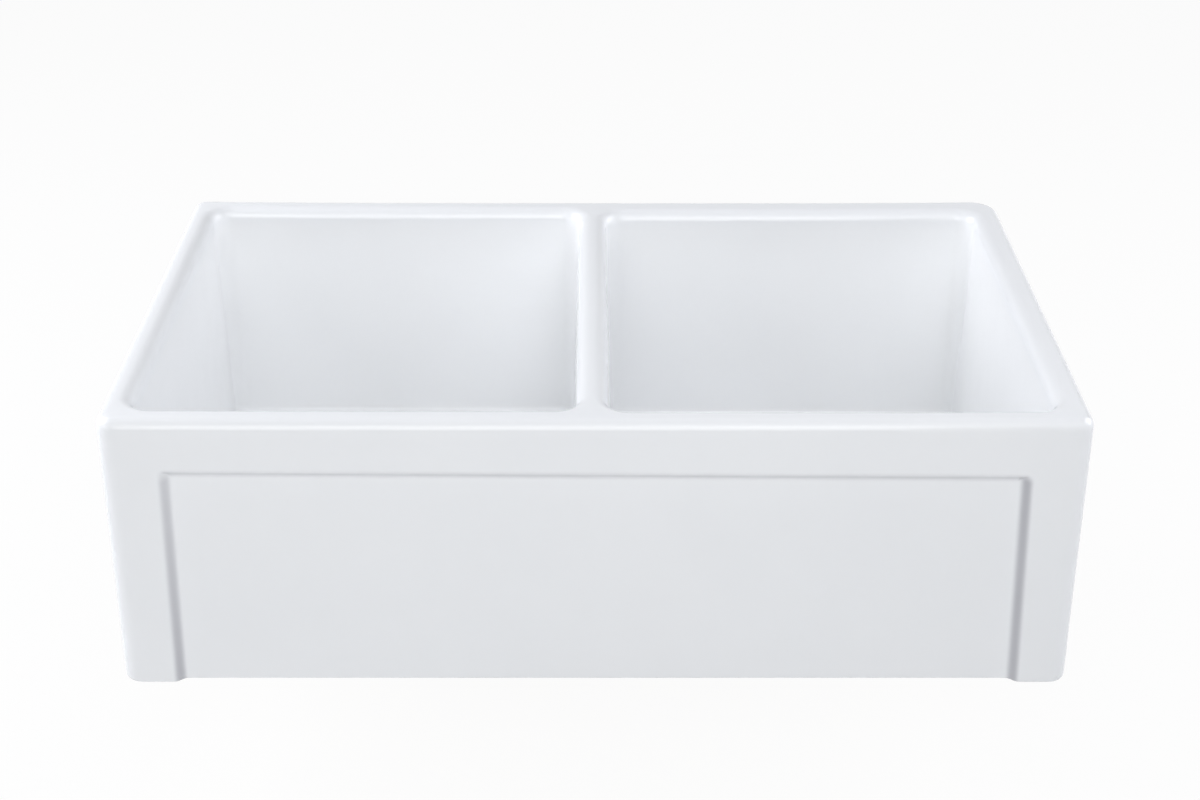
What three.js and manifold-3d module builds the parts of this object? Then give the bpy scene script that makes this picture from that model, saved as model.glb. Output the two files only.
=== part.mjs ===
// Farmhouse apron front sink: one fireclay body with two bowls, and a basket strainer drain in each bowl.
// Millimetres. +Z is up, +X is to the right of someone at the sink, and the apron faces -Y.
// The origin is the centre of the underside, where the sink rests on its cabinet.
import * as THREE from 'three';
import { mergeVertices } from 'three/addons/utils/BufferGeometryUtils.js';
import Module from 'manifold-3d';

const wasm = await Module();
wasm.setup();

// ---- Clay body ----
const LENGTH = 838;
const DEPTH = 508;
const HEIGHT = 262;
const LEFT_RIM = 25;
const RIGHT_RIM = 27.5;
const LEFT_BOWL_FRONT_RIM = 30;
const RIGHT_BOWL_FRONT_RIM = 28;
const LEFT_BOWL_BACK_RIM = 28;
const RIGHT_BOWL_BACK_RIM = 34;
const DIVIDER = 27;
const DIVIDER_OFFSET = -2.5;
const RIM_OUTER_ROUNDING = 10;
const RIM_INNER_ROUNDING = 12;
const FOOT_ROUNDING = 5;
const FRONT_LEFT_CORNER = 18;
const FRONT_RIGHT_CORNER = 12;
const BACK_RIGHT_CORNER = 27;
const BACK_LEFT_CORNER = 13;

// ---- Bowls ----
const BOWL_CORNER = 20;
const BOWL_DRAFT = 6;
const FLOOR = 24;
const FLOOR_FALL = 2.5;
const FLOOR_FILLET = 12;
const DRAIN_BACK = 6;

// ---- Recessed panel of the apron, open at the foot ----
const RAIL_HEIGHT = 45.8;
const LEFT_STILE_TOP = 48;
const LEFT_STILE_FOOT = 44.2;
const RIGHT_STILE_TOP = 47;
const RIGHT_STILE_FOOT = 40.9;
const RECESS_DEPTH = 8;
const RECESS_EDGE = 14;
const RECESS_CORNER = 8;
const PANEL_FOOT_ROUNDING = 2.5;

// ---- Strainer: flange, cup and outlet neck in one, with a spider in the neck ----
const CUP_BORE = 39.7;
const CUP_WALL = 2.6;
const FLANGE_WIDTH = 14.7;
const FLANGE_THICK = 1.6;
const THROAT_DEPTH = 3;
const THROAT_FLARE = 1.6;
const THREAD_SPARE = 6;
const CUP_SLOPE = 5;
const NECK_BORE = 20.6;
const NECK_WALL = 2.7;
const NECK_LENGTH = 20;
const SEAT_RING_WIDTH = 7.5;
const SPIDER_BAR = 3.6;
const SPIDER_HEIGHT = 5;
const SPIDER_HUB = 7;
const SPIDER_DROP = 5.5;

// ---- What seals and clamps the strainer in the clay ----
const SEAT_GAP = 0.3;
const THREAD_CLEARANCE = 0.3;
const HOLE_CLEARANCE = 2.7;
const SEAT_CLEARANCE = 1.5;
const FLANGE_GASKET_THICK = 1.5;
const RECESS_UNDER = 5;
const LOWER_GASKET_THICK = 3;
const LOWER_GASKET_WIDTH = 14;
const FRICTION_RING_THICK = 1;
const LOCK_NUT_HEIGHT = 12;
const LOCK_NUT_WALL = 7;
const LOCK_NUT_FLANGE = 2.5;
const LUG_REACH = 8;
const LUG_WIDTH = 13;
const LUG_COUNT = 8;
const LUG_ROOM = 8;

// ---- Tailpiece and its slip joint ----
const TAIL_RADIUS = 19.05;
const TAIL_WALL = 1.5;
const TAIL_LENGTH = 101.6;
const TAIL_FLANGE_THICK = 1.6;
const TAIL_WASHER_THICK = 2.4;
const COUPLING_HEIGHT = 20;
const COUPLING_LIP = 3;
const COUPLING_WALL = 4.4;

// ---- Lift-out basket with its post and seal ----
const SEAL_THICK = 4;
const SEAL_EDGE = 0.8;
const BASKET_WALL = 0.9;
const BASKET_CLEARANCE = 0.6;
const BASKET_RIM = 2.2;
const BASKET_SINK = 8;
const BASKET_TAPER = 5;
const BASKET_SLOTS = 16;
const SLOT_WIDTH = 3.4;
const SLOT_HEIGHT = 15;
const BASKET_HOLES = 10;
const BASKET_HOLE_RADIUS = 2.4;
const POST_RADIUS = 3;
const POST_COLLAR = 2.2;
const POST_CLEARANCE = 0.4;
const POST_NUT_HEIGHT = 3.2;
const POST_NUT_WALL = 2.4;
const POST_TAIL = 6;
const KNOB_RADIUS = 11;
const KNOB_HEIGHT = 9;
const KNOB_PROUD = 3;

// ---- Fineness of round shapes ----
const CORNER_STEPS = 6;
const ROUNDING_STEPS = 4;
const COVE_STEPS = 5;
const ROUND_STEPS = 36;
const SMALL_ROUND_STEPS = 24;
const POST_STEPS = 16;
const HOLE_STEPS = 8;
const CUT_MARGIN = 2;
const WELD = 1e-4;

// ---- Places that follow from the sizes ----
const cupRadius = CUP_BORE + CUP_WALL;
const flangeTop = FLOOR;
const flangeUnder = flangeTop - FLANGE_THICK;
const flangeRadius = cupRadius + FLANGE_WIDTH;
const claySeat = flangeUnder - SEAT_GAP - FLANGE_GASKET_THICK - SEAT_GAP;
const clayHoleRadius = cupRadius + HOLE_CLEARANCE;
const lowerGasketTop = RECESS_UNDER - SEAT_GAP;
const frictionRingTop = lowerGasketTop - LOWER_GASKET_THICK - SEAT_GAP;
const lockNutTop = frictionRingTop - FRICTION_RING_THICK - SEAT_GAP;
const lockNutFoot = lockNutTop - LOCK_NUT_HEIGHT;
const lockNutBore = cupRadius + THREAD_CLEARANCE;
const lugRadius = lockNutBore + LOCK_NUT_WALL + LUG_REACH;
const cupFoot = lockNutFoot - THREAD_SPARE;
const sealSeat = cupFoot + CUP_WALL - CUP_SLOPE;
const seatRingRadius = NECK_BORE + SEAT_RING_WIDTH;
const neckRadius = NECK_BORE + NECK_WALL;
const cupSole = sealSeat - CUP_WALL;
const neckFoot = cupSole - NECK_LENGTH;
const spiderTop = sealSeat - SPIDER_DROP;
const tailWasherTop = neckFoot - SEAT_GAP;
const tailTop = tailWasherTop - TAIL_WASHER_THICK - SEAT_GAP;
const tailFlangeRadius = neckRadius - SEAT_GAP;
const couplingLipTop = tailTop - TAIL_FLANGE_THICK - SEAT_GAP;
const couplingBore = neckRadius + THREAD_CLEARANCE;
const sealFoot = sealSeat + SEAT_GAP;
const basketFoot = sealFoot + SEAL_THICK + SEAT_GAP;
const basketTop = flangeTop - BASKET_SINK;
const basketRimRadius = CUP_BORE - BASKET_CLEARANCE;
const basketTopRadius = basketRimRadius - BASKET_RIM;
const basketFootRadius = basketTopRadius - BASKET_TAPER;
const postHoleRadius = POST_RADIUS + POST_CLEARANCE;
const postNutTop = sealFoot - SEAT_GAP;
const postNutFoot = postNutTop - POST_NUT_HEIGHT;
const collarFoot = basketFoot + BASKET_WALL + SEAT_GAP;
const knobTop = flangeTop + KNOB_PROUD;

// The plan of a bowl at its walls, below the rounding of the rim.
function bowlPlan(left, right, frontRim, backRim) {
  return {
    left,
    right,
    front: -DEPTH / 2 + frontRim,
    back: DEPTH / 2 - backRim,
    corners: [BOWL_CORNER, BOWL_CORNER, BOWL_CORNER, BOWL_CORNER],
  };
}

const bowls = {
  left: bowlPlan(
    -LENGTH / 2 + LEFT_RIM,
    DIVIDER_OFFSET - DIVIDER / 2,
    LEFT_BOWL_FRONT_RIM,
    LEFT_BOWL_BACK_RIM,
  ),
  right: bowlPlan(
    DIVIDER_OFFSET + DIVIDER / 2,
    LENGTH / 2 - RIGHT_RIM,
    RIGHT_BOWL_FRONT_RIM,
    RIGHT_BOWL_BACK_RIM,
  ),
};

// Each drain is midway along its bowl, and both lie on one line a little behind the middle of the sink.
function drainPlace(bowl) {
  return new THREE.Vector2((bowl.left + bowl.right) / 2, DRAIN_BACK);
}

// ---- Finishes ----
function finish(color, roughness, metalness) {
  return new THREE.MeshStandardMaterial({ color, roughness, metalness });
}

const glaze = () => finish(0xf2f3f5, 0.12, 0);
const polishedSteel = () => finish(0xc9ccce, 0.22, 1);
const brightChrome = () => finish(0xc7c9cc, 0.1, 1);
const castBrass = () => finish(0xb88c4d, 0.45, 1);
const rubber = () => finish(0x1d1d1f, 0.8, 0);
const paleFoam = () => finish(0xd8d5cb, 0.9, 0);
const fibre = () => finish(0xa98c62, 0.95, 0);
const plasticWhite = () => finish(0xe9eaea, 0.45, 0);

// ---- Solids, joins and cuts ----
function toSolid(geometry) {
  const bare = geometry.clone();
  bare.deleteAttribute('normal');
  bare.deleteAttribute('uv');
  const welded = mergeVertices(bare, WELD);
  const mesh = new wasm.Mesh({
    numProp: 3,
    vertProperties: Float32Array.from(welded.attributes.position.array),
    triVerts: Uint32Array.from(welded.index.array),
  });
  return new wasm.Manifold(mesh);
}

function toGeometry(solid) {
  const mesh = solid.getMesh();
  const geometry = new THREE.BufferGeometry();
  geometry.setAttribute('position', new THREE.BufferAttribute(mesh.vertProperties, 3));
  geometry.setIndex(new THREE.BufferAttribute(mesh.triVerts, 1));
  return geometry;
}

// A closed solid through rings of points. The rings run anticlockwise seen from the end they rise to.
function loft(rings) {
  const positions = [];
  const addTriangle = (a, b, c) => {
    if (a.distanceTo(b) < WELD || b.distanceTo(c) < WELD || c.distanceTo(a) < WELD) return;
    positions.push(...a, ...b, ...c);
  };
  const count = rings[0].length;
  for (let level = 0; level + 1 < rings.length; level++) {
    for (let i = 0; i < count; i++) {
      const next = (i + 1) % count;
      const [low, high] = [rings[level], rings[level + 1]];
      addTriangle(low[i], low[next], high[next]);
      addTriangle(low[i], high[next], high[i]);
    }
  }
  const middle = (ring) => ring.reduce((sum, p) => sum.add(p), new THREE.Vector3()).divideScalar(count);
  const first = rings[0];
  const last = rings[rings.length - 1];
  const [firstMiddle, lastMiddle] = [middle(first), middle(last)];
  for (let i = 0; i < count; i++) {
    const next = (i + 1) % count;
    addTriangle(firstMiddle, first[next], first[i]);
    addTriangle(lastMiddle, last[i], last[next]);
  }
  const geometry = new THREE.BufferGeometry();
  geometry.setAttribute('position', new THREE.Float32BufferAttribute(positions, 3));
  return geometry;
}

// A ring round a rectangle with round corners, drawn in by inset and laid at height z.
// The corners come in the order back right, back left, front left, front right.
function roundedRing(plan, inset, z) {
  const places = [
    [plan.right, plan.back, -1, -1],
    [plan.left, plan.back, 1, -1],
    [plan.left, plan.front, 1, 1],
    [plan.right, plan.front, -1, 1],
  ];
  const ring = [];
  places.forEach(([x, y, inwardX, inwardY], corner) => {
    const radius = Math.max(plan.corners[corner] - inset, 0.5);
    const centreX = x + inwardX * (inset + radius);
    const centreY = y + inwardY * (inset + radius);
    for (let step = 0; step <= CORNER_STEPS; step++) {
      const angle = (corner + step / CORNER_STEPS) * Math.PI / 2;
      ring.push(new THREE.Vector3(centreX + radius * Math.cos(angle), centreY + radius * Math.sin(angle), z));
    }
  });
  return ring;
}

// A solid of revolution about Z from [radius, height] points that run anticlockwise round the section.
function revolve(section, steps) {
  const geometry = new THREE.LatheGeometry(section.map(([r, z]) => new THREE.Vector2(r, z)), steps);
  return geometry.rotateX(Math.PI / 2);
}

// A solid cylinder about Z.
function disc(radius, foot, top, steps) {
  return revolve([[0, foot], [radius, foot], [radius, top], [0, top]], steps);
}

// A ring of rectangular section about Z.
function flatRing(innerRadius, outerRadius, foot, top, steps) {
  return revolve([
    [innerRadius, foot], [outerRadius, foot], [outerRadius, top], [innerRadius, top], [innerRadius, foot],
  ], steps);
}

// A six-sided outline with the given distance from its middle to a flat.
function hexagon(apothem) {
  const corner = apothem / Math.cos(Math.PI / 6);
  const points = [];
  for (let i = 0; i < 6; i++) {
    points.push(new THREE.Vector2(corner * Math.cos(i * Math.PI / 3), corner * Math.sin(i * Math.PI / 3)));
  }
  return new THREE.Shape(points);
}

// The points of a quarter round: run is how far it has come along one leg, left what remains of the other.
function quarterRound(radius) {
  const points = [];
  for (let step = 0; step <= ROUNDING_STEPS; step++) {
    const angle = step / ROUNDING_STEPS * Math.PI / 2;
    points.push({ run: radius * (1 - Math.cos(angle)), left: radius * (1 - Math.sin(angle)) });
  }
  return points;
}

// ---- Clay body ----
function outerBody() {
  const plan = {
    left: -LENGTH / 2,
    right: LENGTH / 2,
    front: -DEPTH / 2,
    back: DEPTH / 2,
    corners: [BACK_RIGHT_CORNER, BACK_LEFT_CORNER, FRONT_LEFT_CORNER, FRONT_RIGHT_CORNER],
  };
  const foot = quarterRound(FOOT_ROUNDING).map(({ run, left }) => roundedRing(plan, left, run));
  const rim = quarterRound(RIM_OUTER_ROUNDING).map(({ run, left }) => roundedRing(plan, run, HEIGHT - left));
  return loft([...foot, ...rim]);
}

// The room of one bowl: a floor that falls to the drain, a fillet, drafted walls and a flared rim.
function bowlRoom(bowl) {
  const middle = drainPlace(bowl);
  const dish = flangeRadius + SEAT_CLEARANCE + CUT_MARGIN;
  const drainPlan = {
    left: middle.x - dish,
    right: middle.x + dish,
    front: middle.y - dish,
    back: middle.y + dish,
    corners: [dish, dish, dish, dish],
  };
  const floorEdge = FLOOR + FLOOR_FALL;
  const drainRing = roundedRing(drainPlan, 0, FLOOR);
  const fillet = quarterRound(FLOOR_FILLET)
    .map(({ run, left }) => roundedRing(bowl, BOWL_DRAFT + left, floorEdge + run));
  const flare = quarterRound(RIM_INNER_ROUNDING)
    .map(({ run, left }) => roundedRing(bowl, -run, HEIGHT - left));
  const mouth = roundedRing(bowl, -RIM_INNER_ROUNDING, HEIGHT + CUT_MARGIN);
  return loft([drainRing, ...fillet, ...flare, mouth]);
}

// The waste hole: a seat for the flange above, the hole, and a relief that thins the clay from below.
function wasteHole(bowl) {
  const middle = drainPlace(bowl);
  const seat = flangeRadius + SEAT_CLEARANCE;
  const relief = lugRadius + LUG_ROOM;
  return revolve([
    [0, -CUT_MARGIN], [relief, -CUT_MARGIN], [relief, RECESS_UNDER], [clayHoleRadius, RECESS_UNDER],
    [clayHoleRadius, claySeat], [seat, claySeat], [seat, FLOOR + CUT_MARGIN], [0, FLOOR + CUT_MARGIN],
  ], ROUND_STEPS).translate(middle.x, middle.y, 0);
}

// How wide the right (side 1) or left (side -1) stile is at height z. Both widen upwards.
function stileWidth(side, z) {
  const foot = side > 0 ? RIGHT_STILE_FOOT : LEFT_STILE_FOOT;
  const top = side > 0 ? RIGHT_STILE_TOP : LEFT_STILE_TOP;
  return foot + (top - foot) * z / (HEIGHT - RAIL_HEIGHT);
}

// One outline of the panel recess in the plane of the given depth behind the apron's face.
function recessOutline(inset, depth) {
  const y = -DEPTH / 2 + depth;
  const top = HEIGHT - RAIL_HEIGHT - inset;
  const reach = (side, z) => LENGTH / 2 - stileWidth(side, z) - inset;
  const radius = Math.max(RECESS_CORNER - inset, 1);
  const foot = -CUT_MARGIN;
  const outline = [new THREE.Vector3(-reach(-1, foot), y, foot), new THREE.Vector3(reach(1, foot), y, foot)];
  for (const side of [1, -1]) {
    for (let step = 0; step <= CORNER_STEPS; step++) {
      const share = side > 0 ? step / CORNER_STEPS : 1 - step / CORNER_STEPS;
      const angle = share * Math.PI / 2;
      const z = top - radius * (1 - Math.sin(angle));
      outline.push(new THREE.Vector3(side * (reach(side, z) - radius * (1 - Math.cos(angle))), y, z));
    }
  }
  return outline;
}

// How deep the recess is at a share of the way across its edge: a smooth S from the face to the panel.
function coveDepth(share) {
  return RECESS_DEPTH * share ** 3 * (10 - 15 * share + 6 * share ** 2);
}

function panelRecess() {
  const outlines = [];
  for (let step = 0; step <= COVE_STEPS; step++) {
    const share = 1 - step / COVE_STEPS;
    outlines.push(recessOutline(RECESS_EDGE * share, coveDepth(share)));
  }
  outlines.push(recessOutline(0, -CUT_MARGIN));
  return loft(outlines);
}

// The panel's own lower edge has a smaller round than the foot of the stiles.
function panelFootCut() {
  const face = -DEPTH / 2 + RECESS_DEPTH;
  const outline = [
    new THREE.Vector2(face - CUT_MARGIN, -CUT_MARGIN),
    new THREE.Vector2(face + PANEL_FOOT_ROUNDING, -CUT_MARGIN),
    ...quarterRound(PANEL_FOOT_ROUNDING).map(({ run, left }) => new THREE.Vector2(face + left, run)),
    new THREE.Vector2(face - CUT_MARGIN, PANEL_FOOT_ROUNDING),
  ];
  const start = -LENGTH / 2 + LEFT_STILE_FOOT + RECESS_EDGE;
  const length = LENGTH / 2 - RIGHT_STILE_FOOT - RECESS_EDGE - start;
  const cut = new THREE.ExtrudeGeometry(new THREE.Shape(outline), { depth: length, bevelEnabled: false });
  // The section lies in the Y-Z plane and runs along X.
  cut.applyMatrix4(new THREE.Matrix4().set(0, 0, 1, start, 1, 0, 0, 0, 0, 1, 0, 0, 0, 0, 0, 1));
  return cut;
}

function sinkBody() {
  let clay = toSolid(outerBody());
  for (const bowl of Object.values(bowls)) {
    clay = clay.subtract(toSolid(bowlRoom(bowl)));
    clay = clay.subtract(toSolid(wasteHole(bowl)));
  }
  clay = clay.subtract(toSolid(panelRecess()));
  clay = clay.subtract(toSolid(panelFootCut()));
  return toGeometry(clay);
}

// ---- Strainer and what clamps it, all about the drain's own axis ----
function strainerBody() {
  const lip = FLANGE_THICK / 3;
  return revolve([
    [cupRadius, cupFoot], [cupRadius, flangeUnder], [flangeRadius, flangeUnder],
    [flangeRadius, flangeTop - lip], [flangeRadius - lip, flangeTop],
    [CUP_BORE + THROAT_FLARE + lip, flangeTop - lip], [CUP_BORE + THROAT_FLARE, flangeTop - 2 * lip],
    [CUP_BORE, flangeTop - THROAT_DEPTH], [CUP_BORE, sealSeat + CUP_SLOPE], [seatRingRadius, sealSeat],
    [NECK_BORE, sealSeat], [NECK_BORE, neckFoot], [neckRadius, neckFoot], [neckRadius, cupSole],
    [seatRingRadius + CUP_WALL, cupSole], [cupRadius, cupFoot],
  ], ROUND_STEPS);
}

// The spider: crossed bars wedged in the neck, with a hub that guides the post's tail.
function spider() {
  const bar = new THREE.BoxGeometry(2 * (NECK_BORE - SEAT_GAP), SPIDER_BAR, SPIDER_HEIGHT);
  bar.translate(0, 0, spiderTop - SPIDER_HEIGHT / 2);
  const cross = toSolid(bar).add(toSolid(bar.clone().rotateZ(Math.PI / 2)));
  const spiderFoot = spiderTop - SPIDER_HEIGHT;
  const hub = disc(SPIDER_HUB, spiderFoot, spiderTop, POST_STEPS);
  const bore = disc(postHoleRadius, spiderFoot - CUT_MARGIN, spiderTop + CUT_MARGIN, POST_STEPS);
  return toGeometry(cross.add(toSolid(hub)).subtract(toSolid(bore)));
}

function flangeGasket() {
  const top = flangeUnder - SEAT_GAP;
  const foot = top - FLANGE_GASKET_THICK;
  return flatRing(clayHoleRadius + SEAT_GAP, flangeRadius - SEAT_GAP, foot, top, ROUND_STEPS);
}

function lowerGasket() {
  const inner = cupRadius + THREAD_CLEARANCE;
  const foot = lowerGasketTop - LOWER_GASKET_THICK;
  return flatRing(inner, inner + LOWER_GASKET_WIDTH, foot, lowerGasketTop, ROUND_STEPS);
}

function frictionRing() {
  const inner = cupRadius + THREAD_CLEARANCE;
  const outer = inner + LOWER_GASKET_WIDTH - SEAT_CLEARANCE;
  return flatRing(inner, outer, frictionRingTop - FRICTION_RING_THICK, frictionRingTop, ROUND_STEPS);
}

// The lock nut: a flange that presses on the rings, over a barrel with lugs for a spanner.
function lockNut() {
  const barrel = lockNutBore + LOCK_NUT_WALL;
  const halfLug = Math.asin(LUG_WIDTH / 2 / lugRadius);
  const halfRoot = Math.asin(LUG_WIDTH / 2 / barrel);
  const pitch = 2 * Math.PI / LUG_COUNT;
  const outline = [];
  const addPoint = (radius, angle) => {
    outline.push(new THREE.Vector2(radius * Math.cos(angle), radius * Math.sin(angle)));
  };
  for (let lug = 0; lug < LUG_COUNT; lug++) {
    addPoint(barrel, lug * pitch - halfRoot);
    addPoint(lugRadius, lug * pitch - halfLug);
    addPoint(lugRadius, lug * pitch);
    addPoint(lugRadius, lug * pitch + halfLug);
    addPoint(barrel, lug * pitch + halfRoot);
    addPoint(barrel, (lug + 0.5) * pitch);
  }
  const lugged = new THREE.ExtrudeGeometry(new THREE.Shape(outline), {
    depth: LOCK_NUT_HEIGHT - LOCK_NUT_FLANGE,
    bevelEnabled: false,
  });
  lugged.translate(0, 0, lockNutFoot);
  const flangeFoot = lockNutTop - LOCK_NUT_FLANGE - SEAT_GAP;
  const flangeEdge = lockNutBore + LOWER_GASKET_WIDTH;
  const flange = disc(flangeEdge, flangeFoot, lockNutTop, ROUND_STEPS);
  const bore = disc(lockNutBore, lockNutFoot - CUT_MARGIN, lockNutTop + CUT_MARGIN, ROUND_STEPS);
  return toGeometry(toSolid(lugged).add(toSolid(flange)).subtract(toSolid(bore)));
}

function tailpieceWasher() {
  const foot = tailWasherTop - TAIL_WASHER_THICK;
  return flatRing(TAIL_RADIUS - TAIL_WALL, tailFlangeRadius, foot, tailWasherTop, SMALL_ROUND_STEPS);
}

function tailpiece() {
  const foot = tailTop - TAIL_LENGTH;
  const bore = TAIL_RADIUS - TAIL_WALL;
  return revolve([
    [bore, foot], [TAIL_RADIUS, foot], [TAIL_RADIUS, tailTop - TAIL_FLANGE_THICK],
    [tailFlangeRadius, tailTop - TAIL_FLANGE_THICK], [tailFlangeRadius, tailTop],
    [bore, tailTop], [bore, foot],
  ], SMALL_ROUND_STEPS);
}

// The slip nut: six flats outside, a thread bore above and a lip that carries the tailpiece's flange.
function couplingNut() {
  const foot = couplingLipTop - COUPLING_LIP;
  const acrossCorners = (couplingBore + COUPLING_WALL) / Math.cos(Math.PI / 6);
  const outline = hexagon(couplingBore + COUPLING_WALL);
  const prism = new THREE.ExtrudeGeometry(outline, { depth: COUPLING_HEIGHT, bevelEnabled: false });
  prism.translate(0, 0, foot);
  const edge = COUPLING_LIP / 2;
  const rounded = revolve([
    [0, foot], [acrossCorners - edge, foot], [acrossCorners, foot + edge],
    [acrossCorners, foot + COUPLING_HEIGHT - edge], [acrossCorners - edge, foot + COUPLING_HEIGHT],
    [0, foot + COUPLING_HEIGHT],
  ], SMALL_ROUND_STEPS);
  const lipHole = TAIL_RADIUS + THREAD_CLEARANCE;
  const hole = revolve([
    [0, foot - CUT_MARGIN], [lipHole, foot - CUT_MARGIN], [lipHole, couplingLipTop],
    [couplingBore, couplingLipTop], [couplingBore, foot + COUPLING_HEIGHT + CUT_MARGIN],
    [0, foot + COUPLING_HEIGHT + CUT_MARGIN],
  ], ROUND_STEPS);
  return toGeometry(toSolid(prism).intersect(toSolid(rounded)).subtract(toSolid(hole)));
}

// ---- Basket ----
function basket() {
  const bend = 2 * BASKET_WALL;
  const roll = BASKET_WALL / 2;
  const shell = revolve([
    [postHoleRadius, basketFoot], [basketFootRadius - bend, basketFoot],
    [basketFootRadius, basketFoot + bend],
    [basketTopRadius, basketTop - 2 * BASKET_WALL], [basketRimRadius, basketTop - 2 * BASKET_WALL],
    [basketRimRadius, basketTop - roll], [basketRimRadius - roll, basketTop],
    [basketTopRadius - roll, basketTop], [basketTopRadius - BASKET_WALL, basketTop - 2 * BASKET_WALL],
    [basketFootRadius - BASKET_WALL, basketFoot + bend], [basketFootRadius - bend, basketFoot + BASKET_WALL],
    [postHoleRadius, basketFoot + BASKET_WALL], [postHoleRadius, basketFoot],
  ], ROUND_STEPS);
  let cup = toSolid(shell);
  const middle = (basketFoot + basketTop) / 2;
  for (let slot = 0; slot < BASKET_SLOTS; slot++) {
    const cutter = new THREE.BoxGeometry(BASKET_TAPER + 4 * BASKET_WALL, SLOT_WIDTH, SLOT_HEIGHT);
    cutter.translate((basketTopRadius + basketFootRadius) / 2, 0, middle);
    cutter.rotateZ((slot + 0.5) / BASKET_SLOTS * 2 * Math.PI);
    cup = cup.subtract(toSolid(cutter));
  }
  const holeCircle = (basketFootRadius + SPIDER_HUB) / 2;
  for (let hole = 0; hole < BASKET_HOLES; hole++) {
    const angle = hole / BASKET_HOLES * 2 * Math.PI;
    const cutter = disc(BASKET_HOLE_RADIUS, basketFoot - CUT_MARGIN, basketFoot + CUT_MARGIN, HOLE_STEPS);
    cutter.translate(holeCircle * Math.cos(angle), holeCircle * Math.sin(angle), 0);
    cup = cup.subtract(toSolid(cutter));
  }
  return toGeometry(cup);
}

// Knob, stem and tail turned in one; the collar rests on the basket's floor.
function basketPost() {
  const tail = postNutFoot - POST_TAIL;
  const collar = POST_RADIUS + POST_COLLAR;
  const neck = (POST_RADIUS + KNOB_RADIUS) / 2;
  return revolve([
    [0, tail], [POST_RADIUS / 2, tail], [POST_RADIUS, tail + POST_RADIUS / 2], [POST_RADIUS, collarFoot],
    [collar, collarFoot], [collar, collarFoot + POST_COLLAR], [POST_RADIUS + 1, collarFoot + 2 * POST_COLLAR],
    [POST_RADIUS + 1, knobTop - KNOB_HEIGHT], [neck, knobTop - KNOB_HEIGHT / 2],
    [KNOB_RADIUS, knobTop - KNOB_HEIGHT / 3], [KNOB_RADIUS, knobTop - KNOB_HEIGHT / 5],
    [KNOB_RADIUS - KNOB_HEIGHT / 8, knobTop - KNOB_HEIGHT / 16], [KNOB_RADIUS / 2, knobTop], [0, knobTop],
  ], POST_STEPS);
}

// A rubber disc with a thinned edge that bends down on to the seat ring.
function stopperSeal() {
  const radius = seatRingRadius - SEAL_EDGE;
  const top = sealFoot + SEAL_THICK;
  return revolve([
    [postHoleRadius, sealFoot], [radius, sealFoot], [radius, sealFoot + SEAL_THICK / 3],
    [NECK_BORE, top], [postHoleRadius, top], [postHoleRadius, sealFoot],
  ], SMALL_ROUND_STEPS);
}

function postNut() {
  const outline = hexagon(postHoleRadius + POST_NUT_WALL);
  outline.holes.push(new THREE.Path().absarc(0, 0, POST_RADIUS + THREAD_CLEARANCE, 0, 2 * Math.PI, true));
  const nut = new THREE.ExtrudeGeometry(outline, {
    depth: POST_NUT_HEIGHT,
    bevelEnabled: false,
    curveSegments: HOLE_STEPS,
  });
  return nut.translate(0, 0, postNutFoot);
}

// ---- Assembly ----
const sink = new THREE.Group();

function addPiece(parent, name, geometry, material) {
  const mesh = new THREE.Mesh(geometry, material);
  mesh.name = name;
  parent.add(mesh);
}

addPiece(sink, 'sink_body', sinkBody(), glaze());

for (const [side, bowl] of Object.entries(bowls)) {
  const drain = new THREE.Group();
  const middle = drainPlace(bowl);
  drain.position.set(middle.x, middle.y, 0);
  addPiece(drain, `strainer_body_${side}`, strainerBody(), polishedSteel());
  addPiece(drain, `spider_${side}`, spider(), polishedSteel());
  addPiece(drain, `flange_gasket_${side}`, flangeGasket(), paleFoam());
  addPiece(drain, `lower_gasket_${side}`, lowerGasket(), rubber());
  addPiece(drain, `friction_ring_${side}`, frictionRing(), fibre());
  addPiece(drain, `lock_nut_${side}`, lockNut(), castBrass());
  addPiece(drain, `tailpiece_washer_${side}`, tailpieceWasher(), plasticWhite());
  addPiece(drain, `tailpiece_${side}`, tailpiece(), brightChrome());
  addPiece(drain, `coupling_nut_${side}`, couplingNut(), brightChrome());
  addPiece(drain, `basket_${side}`, basket(), polishedSteel());
  addPiece(drain, `basket_post_${side}`, basketPost(), polishedSteel());
  addPiece(drain, `stopper_seal_${side}`, stopperSeal(), rubber());
  addPiece(drain, `post_nut_${side}`, postNut(), polishedSteel());
  sink.add(drain);
}

export default sink;
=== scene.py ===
import math

import bmesh
import bpy
import numpy as np
from mathutils import Matrix, Vector, geometry, noise


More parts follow.
